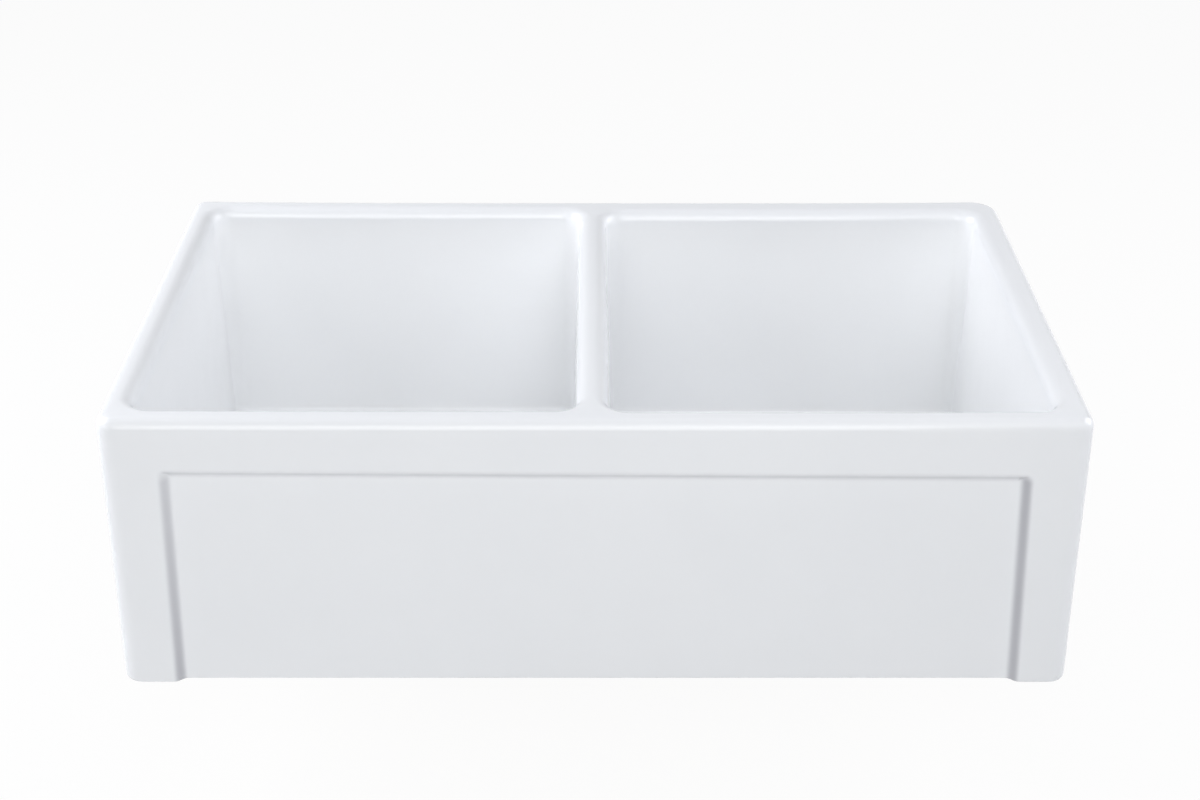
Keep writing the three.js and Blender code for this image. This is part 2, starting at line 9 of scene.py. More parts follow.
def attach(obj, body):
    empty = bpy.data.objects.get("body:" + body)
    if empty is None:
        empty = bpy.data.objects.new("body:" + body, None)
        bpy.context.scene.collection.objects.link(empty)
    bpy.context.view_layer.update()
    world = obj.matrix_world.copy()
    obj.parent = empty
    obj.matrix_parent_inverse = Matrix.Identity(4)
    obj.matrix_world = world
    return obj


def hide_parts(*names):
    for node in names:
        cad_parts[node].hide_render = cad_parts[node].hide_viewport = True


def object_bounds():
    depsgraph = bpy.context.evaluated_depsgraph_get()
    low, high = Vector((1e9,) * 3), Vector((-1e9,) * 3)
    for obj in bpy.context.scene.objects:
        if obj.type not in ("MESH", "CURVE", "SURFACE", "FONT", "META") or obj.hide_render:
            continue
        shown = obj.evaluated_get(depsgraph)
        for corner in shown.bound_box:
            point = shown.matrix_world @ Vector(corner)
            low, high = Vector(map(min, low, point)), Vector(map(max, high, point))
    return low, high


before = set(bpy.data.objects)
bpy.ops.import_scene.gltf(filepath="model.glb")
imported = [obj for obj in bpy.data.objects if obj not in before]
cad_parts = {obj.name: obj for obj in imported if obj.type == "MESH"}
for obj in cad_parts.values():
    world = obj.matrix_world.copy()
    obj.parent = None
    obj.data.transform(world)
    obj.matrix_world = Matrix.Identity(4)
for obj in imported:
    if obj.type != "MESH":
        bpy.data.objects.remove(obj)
cad_box = [list(corner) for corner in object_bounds()]

# ---- Camera ----
# It stands in front of the sink, a little above eye height over the bench, and looks down into the
# bowls through a short telephoto lens.
CAMERA_PLACE = (-0.0005, -1.7697, 1.0518)
CAMERA_PITCH = math.radians(26.9)
CAMERA_YAW = math.radians(0.17)
CAMERA_ROLL = math.radians(0.1)
CAMERA_LENS = 61.74
CAMERA_SENSOR = 36.0
CAMERA_REACH = 50.0

view = bpy.data.cameras.new("camera")
view.sensor_fit = "HORIZONTAL"
view.sensor_width = CAMERA_SENSOR
view.lens = CAMERA_LENS
view.clip_end = CAMERA_REACH
camera = bpy.data.objects.new("camera", view)
aimed = Matrix.Rotation(-CAMERA_YAW, 4, "Z") @ Matrix.Rotation(math.pi / 2 - CAMERA_PITCH, 4, "X")
camera.matrix_world = Matrix.Translation(CAMERA_PLACE) @ aimed @ Matrix.Rotation(CAMERA_ROLL, 4, "Z")
bpy.context.scene.collection.objects.link(camera)
bpy.context.scene.camera = camera

# ---- Clay body ----
# One piece of fireclay: slip-cast in a plaster mould, fettled while leather hard, sprayed with white
# glaze and fired once. Every arris is rounded by hand, and the underside is left bare so that the
# piece doesn't stick to the kiln shelf. The apron carries a recessed panel that is open at its foot.
MM = 0.001
LENGTH = 838 * MM
DEPTH = 508 * MM
HEIGHT = 262 * MM
LEFT_RIM = 25 * MM
RIGHT_RIM = 27.5 * MM
LEFT_FRONT_RIM = 30 * MM
RIGHT_FRONT_RIM = 28 * MM
LEFT_BACK_RIM = 28 * MM
RIGHT_BACK_RIM = 34 * MM
DIVIDER = 27 * MM
DIVIDER_OFFSET = -2.5 * MM
OUTER_CORNERS = (27 * MM, 13 * MM, 18 * MM, 16 * MM)
RIM_OUTER_ROUNDING = 10 * MM
RIM_INNER_ROUNDING = 12 * MM
FOOT_ROUNDING = 5 * MM
BOWL_CORNERS = (20 * MM,) * 4
BOWL_DRAFT = 6 * MM
FLOOR = 24 * MM
FLOOR_FALL = 2.5 * MM
FLOOR_FILLET = 12 * MM
DRAIN_BACK = 6 * MM
RAIL_HEIGHT = 45.8 * MM
RAIL_SKEW = -0.0055
LEFT_STILE_TOP = 48 * MM
LEFT_STILE_FOOT = 44.2 * MM
RIGHT_STILE_TOP = 47 * MM
RIGHT_STILE_FOOT = 40.9 * MM
RECESS_DEPTH = 8 * MM
RECESS_EDGE = 14 * MM
RECESS_CORNER = 8 * MM
PANEL_FOOT_ROUNDING = 2.5 * MM
SEAT_RADIUS = 58.5 * MM
SEAT_HEIGHT = 20.3 * MM
HOLE_RADIUS = 45 * MM
RELIEF_RADIUS = 65.6 * MM
RELIEF_HEIGHT = 5 * MM
SEAT_ARRIS = 1.4 * MM
HOLE_ARRIS = 0.8 * MM
# Painted shade on the recess's edges: how strongly the upright edges and the top edge are darkened, and how
# much of it fades out higher up on the left.
PAINTED_SHADE_SIDES = 0.9
PAINTED_SHADE_TOP = 0.2
LEFT_SHADE_FADE = 0.4
RIM_SAG = 1.6 * MM
HAND_WAVE = 0.16 * MM
HAND_SEED = 11
WAVES_PER_METRE = 7.0
FRONT_SAG_SHARE = 0.35
WELD = 2e-6
CORNER_STEPS = 12
ROUND_STEPS = 9
BACK_PITCH = 90
SIDE_PITCH = 56
BOWL_LONG_PITCH = 44
BOWL_DEEP_PITCH = 50
STILE_COLUMNS = 8
COVE_COLUMNS = 18
PANEL_COLUMNS = 96
PANEL_LEVELS = 30
COVE_LEVELS = 24
RAIL_LEVELS = 5
WALL_LEVELS = 22
FLOOR_LEVELS = 12
RIM_GRID = 9 * MM
FOOT_GRID = 30 * MM

RECESS_TOP = HEIGHT - RAIL_HEIGHT


class Shell:
    """The skin of one piece while it is built: rings of points, joined by bands of faces."""

    def __init__(self):
        self.points = []
        self.faces = []
        self.count = 0

    def ring(self, points):
        start = self.count
        self.points.append(np.asarray(points, float))
        self.count += len(points)
        return start

    def band(self, first, second, count):
        here = np.arange(count)
        after = (here + 1) % count
        quads = np.stack([first + here, first + after, second + after, second + here], 1)
        self.faces += quads.tolist()

    def chain(self, rings):
        starts = [self.ring(points) for points in rings]
        for first, second in zip(starts, starts[1:]):
            self.band(first, second, len(rings[0]))

    def mesh(self, name, bend=None):
        places = np.concatenate(self.points)
        mesh = bpy.data.meshes.new(name)
        mesh.from_pydata((bend(places) if bend else places).tolist(), [], self.faces)
        skin = bmesh.new()
        skin.from_mesh(mesh)
        bmesh.ops.remove_doubles(skin, verts=skin.verts, dist=WELD)
        skin.to_mesh(mesh)
        skin.free()
        mesh.validate()
        mesh.shade_smooth()
        return mesh


def points_of(mesh):
    """The places of a mesh's points, one row for each."""
    places = np.zeros(len(mesh.vertices) * 3)
    mesh.vertices.foreach_get("co", places)
    return places.reshape(-1, 3)


def note(mesh, name, values, kind="FLOAT", field="value"):
    """Keeps a value for each of a mesh's points, for its material to read."""
    attribute = mesh.attributes.new(name, kind, "POINT")
    attribute.data.foreach_set(field, values.astype(np.float32).ravel())


def show(mesh, material, body, node):
    """Puts a finished mesh in the scene, under its own name, in place of the node that it stands for."""
    piece = bpy.data.objects.new(mesh.name, mesh)
    bpy.context.scene.collection.objects.link(piece)
    mesh.materials.clear()
    mesh.materials.append(material)
    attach(piece, body)
    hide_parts(node)


def quarter(radius, steps=ROUND_STEPS):
    """A quarter round as (run, left): how far along one leg, and what is left of the other."""
    turns = np.linspace(0, math.pi / 2, steps + 1)
    return list(zip(radius * (1 - np.cos(turns)), radius * (1 - np.sin(turns))))


def plan_ring(plan, corners, inset, z, long_pitch, deep_pitch, front=None):
    """A ring round a rectangle with round corners, anticlockwise from its back right corner."""
    left, right, low, high = plan
    places = [(right, high, -1, -1), (left, high, 1, -1), (left, low, 1, 1), (right, low, -1, 1)]
    arcs = []
    for number, (x, y, in_x, in_y) in enumerate(places):
        radius = max(corners[number] - inset, 0.5 * MM)
        turns = (number + np.linspace(0, 1, CORNER_STEPS + 1)) * math.pi / 2
        arc_x = x + in_x * (inset + radius) + radius * np.cos(turns)
        arc_y = y + in_y * (inset + radius) + radius * np.sin(turns)
        arcs.append(np.stack([arc_x, arc_y, np.full_like(arc_x, z)], 1))
    ring = []
    for number, arc in enumerate(arcs):
        start, end = arc[-1], arcs[(number + 1) % 4][0]
        if front and number == 2:
            columns = front(start[0], end[0], z)
            share = ((columns - start[0]) / (end[0] - start[0]))[:, None]
        else:
            pitch = deep_pitch if number % 2 else long_pitch
            share = np.linspace(0, 1, pitch + 1)[1:-1, None]
        ring += [arc, start + (end - start) * share]
    return np.concatenate(ring)


def circle_ring(middle, radius, z, turns):
    """A ring about an upright axis, with a point at each of the given angles."""
    x = middle[0] + radius * np.cos(turns)
    return np.stack([x, middle[1] + radius * np.sin(turns), np.full_like(x, z)], 1)


def within(ring, spots):
    """Which of the flat spots lie inside a closed ring."""
    after = np.roll(ring, -1, 0)
    odd = np.zeros(len(spots), bool)
    for (ax, ay), (bx, by) in zip(ring[:, :2], after[:, :2]):
        crosses = (ay > spots[:, 1]) != (by > spots[:, 1])
        odd ^= crosses & (spots[:, 0] < (bx - ax) * (spots[:, 1] - ay) / ((by - ay) or 1) + ax)
    return odd


def filled(outer, holes, spacing):
    """Triangles for the flat area between an outer outline and its holes, with extra spots inside it."""
    outlines = [outer] + holes
    rims = np.concatenate([outline[:, :2] for outline in outlines])
    edges = []
    for outline in outlines:
        start, count = len(edges), len(outline)
        edges += [(start + i, start + (i + 1) % count) for i in range(count)]
    low, high = rims.min(0), rims.max(0)
    rows = np.arange(low[1] + spacing / 2, high[1], spacing)
    columns = np.arange(low[0] + spacing / 2, high[0], spacing)
    spots = np.array([(x + row % 2 * spacing / 2, y) for row, y in enumerate(rows) for x in columns])
    gap = np.array([np.min(np.hypot(*(rims - spot).T)) for spot in spots])
    spots = spots[(gap > spacing / 2) & within(outer, spots)]
    for hole in holes:
        spots = spots[~within(hole, spots)]
    flat = [Vector(spot) for spot in np.concatenate([rims, spots])]
    found = geometry.delaunay_2d_cdt(flat, edges, [], 1, 1e-9)
    corners = np.array([tuple(spot) for spot in found[0]])
    triangles = np.array(found[2])
    middles = corners[triangles].mean(1)
    keep = within(outer, middles)
    for hole in holes:
        keep &= ~within(hole, middles)
    return corners, triangles[keep]


def cover(shell, outer, holes, spacing, upward):
    """Closes the flat face between an outer ring and the rings of its holes."""
    corners, triangles = filled(outer, holes, spacing)
    start = shell.ring(np.column_stack([corners, np.full(len(corners), outer[0, 2])]))
    shell.faces += ((triangles if upward else triangles[:, ::-1]) + start).tolist()


def recess_reach(side, z):
    """How far the recess reaches to the left (side -1) or right (side 1), to where it leaves the face."""
    foot = RIGHT_STILE_FOOT if side > 0 else LEFT_STILE_FOOT
    top = RIGHT_STILE_TOP if side > 0 else LEFT_STILE_TOP
    return LENGTH / 2 - foot - (top - foot) * np.minimum(z, RECESS_TOP) / RECESS_TOP


def recess_depth(x, z):
    """How far the clay lies behind the apron's face: a smooth S down to the panel."""
    aside = np.minimum(recess_reach(1, z) - x, recess_reach(-1, z) + x)
    below = RECESS_TOP + RAIL_SKEW * x - z
    rounded = RECESS_CORNER - np.hypot(RECESS_CORNER - aside, RECESS_CORNER - below)
    in_corner = (aside < RECESS_CORNER) & (below < RECESS_CORNER)
    inward = np.where(in_corner, rounded, np.minimum(aside, below))
    share = np.clip(inward / RECESS_EDGE, 0, 1)
    return RECESS_DEPTH * share ** 3 * (10 - 15 * share + 6 * share ** 2)


def apron_columns(start, end, z):
    """Where the apron's points stand at height z, close together on the recess's edges."""
    left, right = -recess_reach(-1, z), recess_reach(1, z)
    panel_left, panel_right = left + RECESS_EDGE, right - RECESS_EDGE
    runs = [(start, left, STILE_COLUMNS), (left, panel_left, COVE_COLUMNS),
            (panel_left, panel_right, PANEL_COLUMNS), (panel_right, right, COVE_COLUMNS),
            (right, end, STILE_COLUMNS)]
    return np.concatenate([np.linspace(a, b, count + 1)[:-1] for a, b, count in runs])[1:]


def outer_ring(inset, z):
    """The outside of the clay at height z, with the apron's recess pressed into it."""
    plan = (-LENGTH / 2, LENGTH / 2, -DEPTH / 2, DEPTH / 2)
    ring = plan_ring(plan, OUTER_CORNERS, inset, z, BACK_PITCH, SIDE_PITCH, apron_columns)
    on_apron = ring[:, 1] < -DEPTH / 2 + inset + 0.01 * MM
    depth = recess_depth(ring[on_apron, 0], z)
    above_arris = min(z, PANEL_FOOT_ROUNDING)
    panel_inset = PANEL_FOOT_ROUNDING - math.sqrt(above_arris * (2 * PANEL_FOOT_ROUNDING - above_arris))
    slack = (panel_inset - inset) if z < FOOT_ROUNDING else 0.0
    ring[on_apron, 1] += depth + slack * depth / RECESS_DEPTH
    return ring


def bowl_plan(left, right, front_rim, back_rim):
    return (left, right, -DEPTH / 2 + front_rim, DEPTH / 2 - back_rim)


BOWLS = {
    "left": bowl_plan(-LENGTH / 2 + LEFT_RIM, DIVIDER_OFFSET - DIVIDER / 2, LEFT_FRONT_RIM, LEFT_BACK_RIM),
    "right": bowl_plan(DIVIDER_OFFSET + DIVIDER / 2, LENGTH / 2 - RIGHT_RIM, RIGHT_FRONT_RIM, RIGHT_BACK_RIM),
}
DRAINS = {side: ((plan[0] + plan[1]) / 2, DRAIN_BACK) for side, plan in BOWLS.items()}


def bowl_rings(plan, middle):
    """From the rim down the walls, over the floor and through the waste hole to the underside."""
    def wall(inset, z):
        return plan_ring(plan, BOWL_CORNERS, inset, z, BOWL_LONG_PITCH, BOWL_DEEP_PITCH)

    floor_edge = FLOOR + FLOOR_FALL
    wall_top = HEIGHT - RIM_INNER_ROUNDING
    wall_foot = floor_edge + FLOOR_FILLET
    rings = [wall(-run, HEIGHT - left) for run, left in reversed(quarter(RIM_INNER_ROUNDING))]
    for share in np.linspace(0, 1, WALL_LEVELS + 1)[1:-1]:
        rings.append(wall(BOWL_DRAFT * share, wall_top + (wall_foot - wall_top) * share))
    for run, left in reversed(quarter(FLOOR_FILLET)):
        rings.append(wall(BOWL_DRAFT + left, floor_edge + run))
    edge = rings[-1]
    turns = np.arctan2(edge[:, 1] - middle[1], edge[:, 0] - middle[0])
    dish = circle_ring(middle, SEAT_RADIUS + SEAT_ARRIS, FLOOR, turns)
    for share in np.linspace(0, 1, FLOOR_LEVELS + 1)[1:-1]:
        ring = edge + (dish - edge) * share
        ring[:, 2] = FLOOR + FLOOR_FALL * (1 - share) ** 0.75
        rings.append(ring)
    onward = quarter(HOLE_ARRIS, 3)
    back = onward[::-1]
    arrises = [
        (quarter(SEAT_ARRIS, 4), SEAT_RADIUS, 1, FLOOR, -1), (back, SEAT_RADIUS, -1, SEAT_HEIGHT, 1),
        (onward, HOLE_RADIUS, 1, SEAT_HEIGHT, -1), (back, HOLE_RADIUS, 1, RELIEF_HEIGHT, 1),
        (onward, RELIEF_RADIUS, -1, RELIEF_HEIGHT, -1), (back, RELIEF_RADIUS, 1, 0, 1),
    ]
    for steps, radius, outward, height, upward in arrises:
        for run, left in steps:
            rings.append(circle_ring(middle, radius + outward * left, height + upward * run, turns))
    return rings


def smooth_step(value, low, high):
    share = np.clip((value - low) / (high - low), 0, 1)
    return share * share * (3 - 2 * share)


def settle(places):
    """The small unevenness of a hand-finished casting: a rim that sank in the kiln, faintly wavy walls."""
    x, y, z = places.T
    share = FRONT_SAG_SHARE + (1 - FRONT_SAG_SHARE) * smooth_step(y, 0.0, DEPTH / 2)
    sag = RIM_SAG * share * (1 - (x / (LENGTH / 2)) ** 4)
    lowered = z - sag * smooth_step(z, 0.5 * HEIGHT, HEIGHT)
    high_up = smooth_step(z, FLOOR + FLOOR_FALL, FLOOR + 3 * FLOOR_FILLET)
    noise.seed_set(HAND_SEED)
    waves = np.array([noise.noise_vector(Vector(place) * WAVES_PER_METRE) for place in places])
    shrink = 1 - HAND_WAVE / (DEPTH / 2) * high_up
    moved = waves[:, :2] * HAND_WAVE * 0.5 * high_up[:, None]
    flat = places[:, :2] * shrink[:, None] + moved
    return np.column_stack([flat, lowered])


def recess_painted_shade(places):
    """Painted shade on the recess's sloping edges: how far the glaze colour is darkened there, most on the
    upright edges, less along the top, and less higher up on the left.
    """
    x, y, z = places.T
    on_apron = (y < -DEPTH / 2 + 1.5 * RECESS_DEPTH) & (z < RECESS_TOP)
    depth = recess_depth(x, z)
    steep = np.clip(1 - np.abs(2 * depth / RECESS_DEPTH - 1) ** 3, 0, 1)
    aside = np.minimum(recess_reach(1, z) - x, recess_reach(-1, z) + x)
    upright = smooth_step(RECESS_TOP - z, 0.4 * RECESS_EDGE, RECESS_EDGE) * (aside < RECESS_EDGE)
    fade = 1 - LEFT_SHADE_FADE * (x < 0) * z / RECESS_TOP
    return on_apron * steep * (PAINTED_SHADE_SIDES * fade * upright + PAINTED_SHADE_TOP * (1 - upright))


def bowl_painted_light(places):
    """How far a point lies in a bowl, where the glaze is painted paler as painted light: the share fades out
    over the rounded rim.
    """
    x, y, z = places.T
    inside = np.zeros(len(places), bool)
    for left, right, front, back in BOWLS.values():
        aside = np.maximum(np.maximum(left - x, x - right), np.maximum(front - y, y - back))
        inside |= aside < RIM_INNER_ROUNDING
    return inside * smooth_step(HEIGHT - z, 0.0, 2 * RIM_INNER_ROUNDING)


clay = Shell()
foot_rings = [outer_ring(left, run) for run, left in quarter(FOOT_ROUNDING)]
rim_rings = [outer_ring(run, HEIGHT - left) for run, left in quarter(RIM_OUTER_ROUNDING)]
skew_reach = abs(RAIL_SKEW) * LENGTH / 2
cove_foot, cove_top = RECESS_TOP - RECESS_EDGE - skew_reach, RECESS_TOP + skew_reach
panel_heights = np.linspace(FOOT_ROUNDING, cove_foot - MM, PANEL_LEVELS + 1)[1:]
cove_heights = np.linspace(cove_foot, cove_top, COVE_LEVELS + 1)
rail_heights = np.linspace(cove_top + 2 * MM, HEIGHT - RIM_OUTER_ROUNDING, RAIL_LEVELS + 1)[:-1]
side_rings = [outer_ring(0, z) for z in np.concatenate([panel_heights, cove_heights, rail_heights])]
clay.chain(foot_rings + side_rings + rim_rings)
bowl_chains = [bowl_rings(BOWLS[side], DRAINS[side]) for side in BOWLS]
for rings in bowl_chains:
    clay.chain(rings)
cover(clay, rim_rings[-1], [rings[0] for rings in bowl_chains], RIM_GRID, True)
cover(clay, foot_rings[0], [rings[-1] for rings in bowl_chains], FOOT_GRID, False)


class Nodes:
    """A tree of nodes that are added and joined in one line each."""

    def __init__(self, tree):
        self.tree = tree

    def add(self, kind, inputs=(), family="ShaderNode", **settings):
        node = self.tree.nodes.new(family + kind)
        for name, value in settings.items():
            setattr(node, name, value)
        for name, value in dict(inputs).items():
            self.feed(node.inputs[name], value)
        return node

    def feed(self, socket, value):
        if isinstance(value, bpy.types.NodeSocket):
            self.tree.links.new(value, socket)
        else:
            socket.default_value = value

    def spread(self, value, low, high, start=0.0, end=1.0):
        inputs = {"Value": value, "From Min": start, "From Max": end, "To Min": low, "To Max": high}
        return self.add("MapRange", inputs).outputs["Result"]

    def math(self, operation, first, second=0.0):
        return self.add("Math", {0: first, 1: second}, operation=operation).outputs[0]

    def seen_directly(self):
        """1 where the camera looks, straight or by way of something glossy, and 0 for gathered light."""
        path = self.add("LightPath").outputs
        glossy = self.math("MAXIMUM", path["Is Camera Ray"], path["Is Glossy Ray"])
        return self.math("MAXIMUM", glossy, path["Is Transmission Ray"])


class Finish(Nodes):
    """A surface finish: a material and its nodes."""

    def __init__(self, name):
        self.material = bpy.data.materials.new(name)
        self.material.use_nodes = True
        super().__init__(self.material.node_tree)
        self.surface = self.tree.nodes["Principled BSDF"]
        self.place = self.add("TexCoord").outputs["Object"]

    def noise(self, scale, detail=2.0, roughness=0.5, vector=None):
        inputs = {"Vector": vector or self.place, "Scale": scale, "Detail": detail, "Roughness": roughness}
        return self.add("TexNoise", inputs).outputs["Fac"]

    def stretch(self, vector, x, y, z):
        return self.add("VectorMath", {0: vector, 1: (x, y, z)}, operation="MULTIPLY").outputs[0]

    def colours(self, value, *stops):
        ramp = self.add("ValToRGB", {"Fac": value})
        elements = ramp.color_ramp.elements
        while len(elements) < len(stops):
            elements.new(0.5)
        for element, (spot, colour) in zip(elements, stops):
            element.position = spot
            element.color = (*colour, 1.0)
        return ramp.outputs["Color"]

    def bump(self, height, distance, under=None):
        inputs = {"Height": height, "Strength": 1.0, "Distance": distance}
        if under:
            inputs["Normal"] = under
        return self.add("Bump", inputs).outputs["Normal"]

    def blend(self, share, first, second):
        node = self.add("Mix", {}, data_type="RGBA")
        self.feed(node.inputs[0], share)
        self.feed(node.inputs[6], first)
        self.feed(node.inputs[7], second)
        return node.outputs[2]

    def make(self, **inputs):
        for name, value in inputs.items():
            self.feed(self.surface.inputs[name.replace("_", " ")], value)
        return self.material


GLAZE_OUTSIDE = (0.890, 0.909, 0.927)
GLAZE_OUTSIDE_PALE = (0.900, 0.918, 0.935)
# Painted light: the same glaze in a paler colour, used inside the bowls to brighten them.
PAINTED_LIGHT_BOWL_GLAZE = (0.937, 0.949, 0.959)
PAINTED_LIGHT_BOWL_GLAZE_PALE = (0.945, 0.956, 0.965)
# The dark grey that is painted on the recess's edges as shade.
PAINTED_SHADE_COLOUR = (0.480, 0.485, 0.520)
BISCUIT = (0.62, 0.555, 0.46)
BISCUIT_DARK = (0.52, 0.45, 0.36)
GLAZE_ROUGHNESS = (0.14, 0.20)
BISCUIT_ROUGHNESS = 0.85
GLAZE_RIPPLE = 0.04 * MM
GLAZE_PEEL = 0.008 * MM
BISCUIT_GRAIN = 0.25 * MM

glaze = Finish("white_glaze")
biscuit = glaze.add("Attribute", attribute_name="biscuit").outputs["Fac"]
clouds = glaze.noise(9.0, 2.0)
recess_shade = glaze.add("Attribute", attribute_name="recess_shade").outputs["Fac"]
bowl_light = glaze.add("Attribute", attribute_name="bowl_light").outputs["Fac"]
outside_colour = glaze.colours(clouds, (0.35, GLAZE_OUTSIDE), (0.65, GLAZE_OUTSIDE_PALE))
# Painted light: inside the bowls the glaze takes a paler copy of its colour.
lit_bowl_colour = glaze.colours(clouds, (0.35, PAINTED_LIGHT_BOWL_GLAZE), (0.65, PAINTED_LIGHT_BOWL_GLAZE_PALE))
glaze_and_bowl_light = glaze.blend(bowl_light, outside_colour, lit_bowl_colour)
# Painted shade: the glaze is darkened towards a dark grey on the recess's sloping edges.
glaze_colour = glaze.blend(recess_shade, glaze_and_bowl_light, (*PAINTED_SHADE_COLOUR, 1.0))
grog = glaze.noise(900.0, 3.0, 0.6)
clay_colour = glaze.colours(grog, (0.35, BISCUIT_DARK), (0.6, BISCUIT))
glaze_gloss = glaze.spread(glaze.noise(32.0, 3.0), *GLAZE_ROUGHNESS)
gloss = glaze.add("Mix", {0: biscuit, 2: glaze_gloss, 3: BISCUIT_ROUGHNESS}, data_type="FLOAT").outputs[0]
ripple = glaze.bump(glaze.noise(36.0, 1.0), GLAZE_RIPPLE)
peel = glaze.bump(glaze.noise(230.0, 1.0), GLAZE_PEEL, ripple)
grain = glaze.bump(glaze.math("MULTIPLY", grog, biscuit), BISCUIT_GRAIN, peel)
glaze.make(Base_Color=glaze.blend(biscuit, glaze_colour, clay_colour), Roughness=gloss, Normal=grain)

clay_mesh = clay.mesh("sink", settle)
places = points_of(clay_mesh)
bare = places[:, 2] < 0.3 * MM
for middle in DRAINS.values():
    reach = np.hypot(places[:, 0] - middle[0], places[:, 1] - middle[1])
    bare |= (reach < RELIEF_RADIUS + MM) & (places[:, 2] < SEAT_HEIGHT - 0.5 * MM)
note(clay_mesh, "biscuit", bare)
# Keeps the painted shade of the recess's edges on each point.
note(clay_mesh, "recess_shade", recess_painted_shade(places))
# Keeps on each point how much of the bowls' painted light it takes.
note(clay_mesh, "bowl_light", bowl_painted_light(places))
show(clay_mesh, glaze.material, "sink", "sink_body")

# ---- Flange gaskets ----
# A ring of closed-cell foam for each drain, die-cut from sheet. It lies in the ledge round the waste
# hole, where the strainer's flange squeezes it down on the glaze.
FLANGE_GASKET_INNER = 45.3 * MM
FLANGE_GASKET_OUTER = 56.7 * MM
FLANGE_GASKET_FOOT = 20.6 * MM
FLANGE_GASKET_TOP = 22.1 * MM
TURNING_RISE = 1.6
FOAM_DARK = (0.62, 0.60, 0.55)
FOAM_PALE = (0.78, 0.76, 0.71)


def eased(section, radius, steps=3):
    """A section whose corners are broken by small rounds, with the flats beside them held flat."""
    corners = [np.array(corner, float) for corner in section]
    points = []
    for before, here, after in zip(corners[-1:] + corners[:-1], corners, corners[1:] + corners[:1]):
        back, onward = before - here, after - here
        reach = min(radius, 0.3 * np.hypot(*back), 0.3 * np.hypot(*onward))
        if here[0] < 0.01 * MM:
            points.append(here)
            continue
        start, end = reach * back / np.hypot(*back), reach * onward / np.hypot(*onward)
        points.append(here + 1.6 * start)
        for share in np.linspace(0, 1, steps + 1):
            points.append(here + (1 - share) ** 2 * start + share ** 2 * end)
        points.append(here + 1.6 * end)
    return points


def flat_ring(inner, outer, foot, top):
    """The section of a plain flat ring."""
    return [(inner, foot), (outer, foot), (outer, top), (inner, top)]


def turned_skin(name, section, steps, closed=False, bend=None):
    """A section turned about the upright axis: a band with open ends, or a whole piece if it is closed."""
    skin = Shell()
    turns = np.linspace(0, 2 * math.pi, steps, endpoint=False)
    rings = [circle_ring((0, 0), radius, height, turns) for radius, height in section]
    skin.chain(rings + rings[:1] if closed else rings)
    return skin.mesh(name, bend)


def turned(name, section, middle, steps=96, closed=True, bend=None):
    """A turned piece, set at its drain. Its section runs up the outside and down the inside."""
    return set_at(turned_skin(name, section, steps, closed, bend), middle)


def set_at(mesh, middle):
    """Moves a round piece to its drain, and notes where each point lies round and along the turning."""
    places = points_of(mesh)
    reach = np.hypot(places[:, 0], places[:, 1])
    direction = places[:, :2] / np.maximum(reach, 0.001 * MM)[:, None]
    marks = np.column_stack([direction, reach + TURNING_RISE * places[:, 2]])
    note(mesh, "turning", marks, "FLOAT_VECTOR", "vector")
    mesh.transform(Matrix.Translation((middle[0], middle[1], 0.0)))
    return mesh


foam = Finish("foam_gasket")
cells = foam.add("TexVoronoi", {"Vector": foam.place, "Scale": 1500.0}).outputs["Distance"]
foam_colour = foam.colours(foam.noise(260.0, 3.0), (0.35, FOAM_DARK), (0.65, FOAM_PALE))
foam_grain = foam.bump(cells, 0.25 * MM)
foam.make(Base_Color=foam_colour, Roughness=foam.spread(cells, 0.95, 0.75), Normal=foam_grain)

for side, middle in DRAINS.items():
    ring = flat_ring(FLANGE_GASKET_INNER, FLANGE_GASKET_OUTER, FLANGE_GASKET_FOOT, FLANGE_GASKET_TOP)
    gasket = turned(f"flange_gasket_{side}_foam", eased(ring, 0.4 * MM), middle)
    show(gasket, foam.material, "sink", f"flange_gasket_{side}")

# ---- Strainer bodies ----
# One stainless pressing for each drain: a wide flange with a rolled edge, a straight cup, a sloping
# seat for the stopper and an outlet neck. A thread is rolled into the outside of the cup and the neck.
CUP_BORE = 39.7 * MM
CUP_OUTSIDE = 42.3 * MM
CUP_FOOT = -17.9 * MM
FLANGE_EDGE = 57 * MM
FLANGE_UNDER = 22.4 * MM
FLANGE_TOP = 24 * MM
SEAL_SEAT = -20.3 * MM
SEAT_RING = 28.1 * MM
SEAT_SLOPE = 5 * MM
CUP_SOLE = -22.9 * MM
NECK_BORE = 20.6 * MM
NECK_OUTSIDE = 23.3 * MM
NECK_FOOT = -42.9 * MM
THREAD_PITCH = 2.3 * MM
CUP_THREAD = {"radius": CUP_OUTSIDE, "foot": -16.5 * MM, "top": 9 * MM, "depth": 0.75 * MM}
NECK_THREAD = {"radius": NECK_OUTSIDE, "foot": -42 * MM, "top": -25 * MM, "depth": 0.7 * MM}
THREAD_ROWS = 7
STEEL_DARK = (0.50, 0.50, 0.495)
STEEL_PALE = (0.66, 0.66, 0.65)


def with_rows(section, thread):
    """The same section, with close rows of points on the upright run that carries a thread."""
    rows = []
    step = THREAD_PITCH / THREAD_ROWS
    for here, after in zip(section, section[1:] + section[:1]):
        rows.append(here)
        strays = abs(here[0] - thread["radius"]) + abs(after[0] - thread["radius"])
        count = round(abs(after[1] - here[1]) / step) if strays < 0.001 * MM else 0
        rows += [here + (after - here) * share for share in np.linspace(0, 1, count + 1)[1:-1]]
    return rows


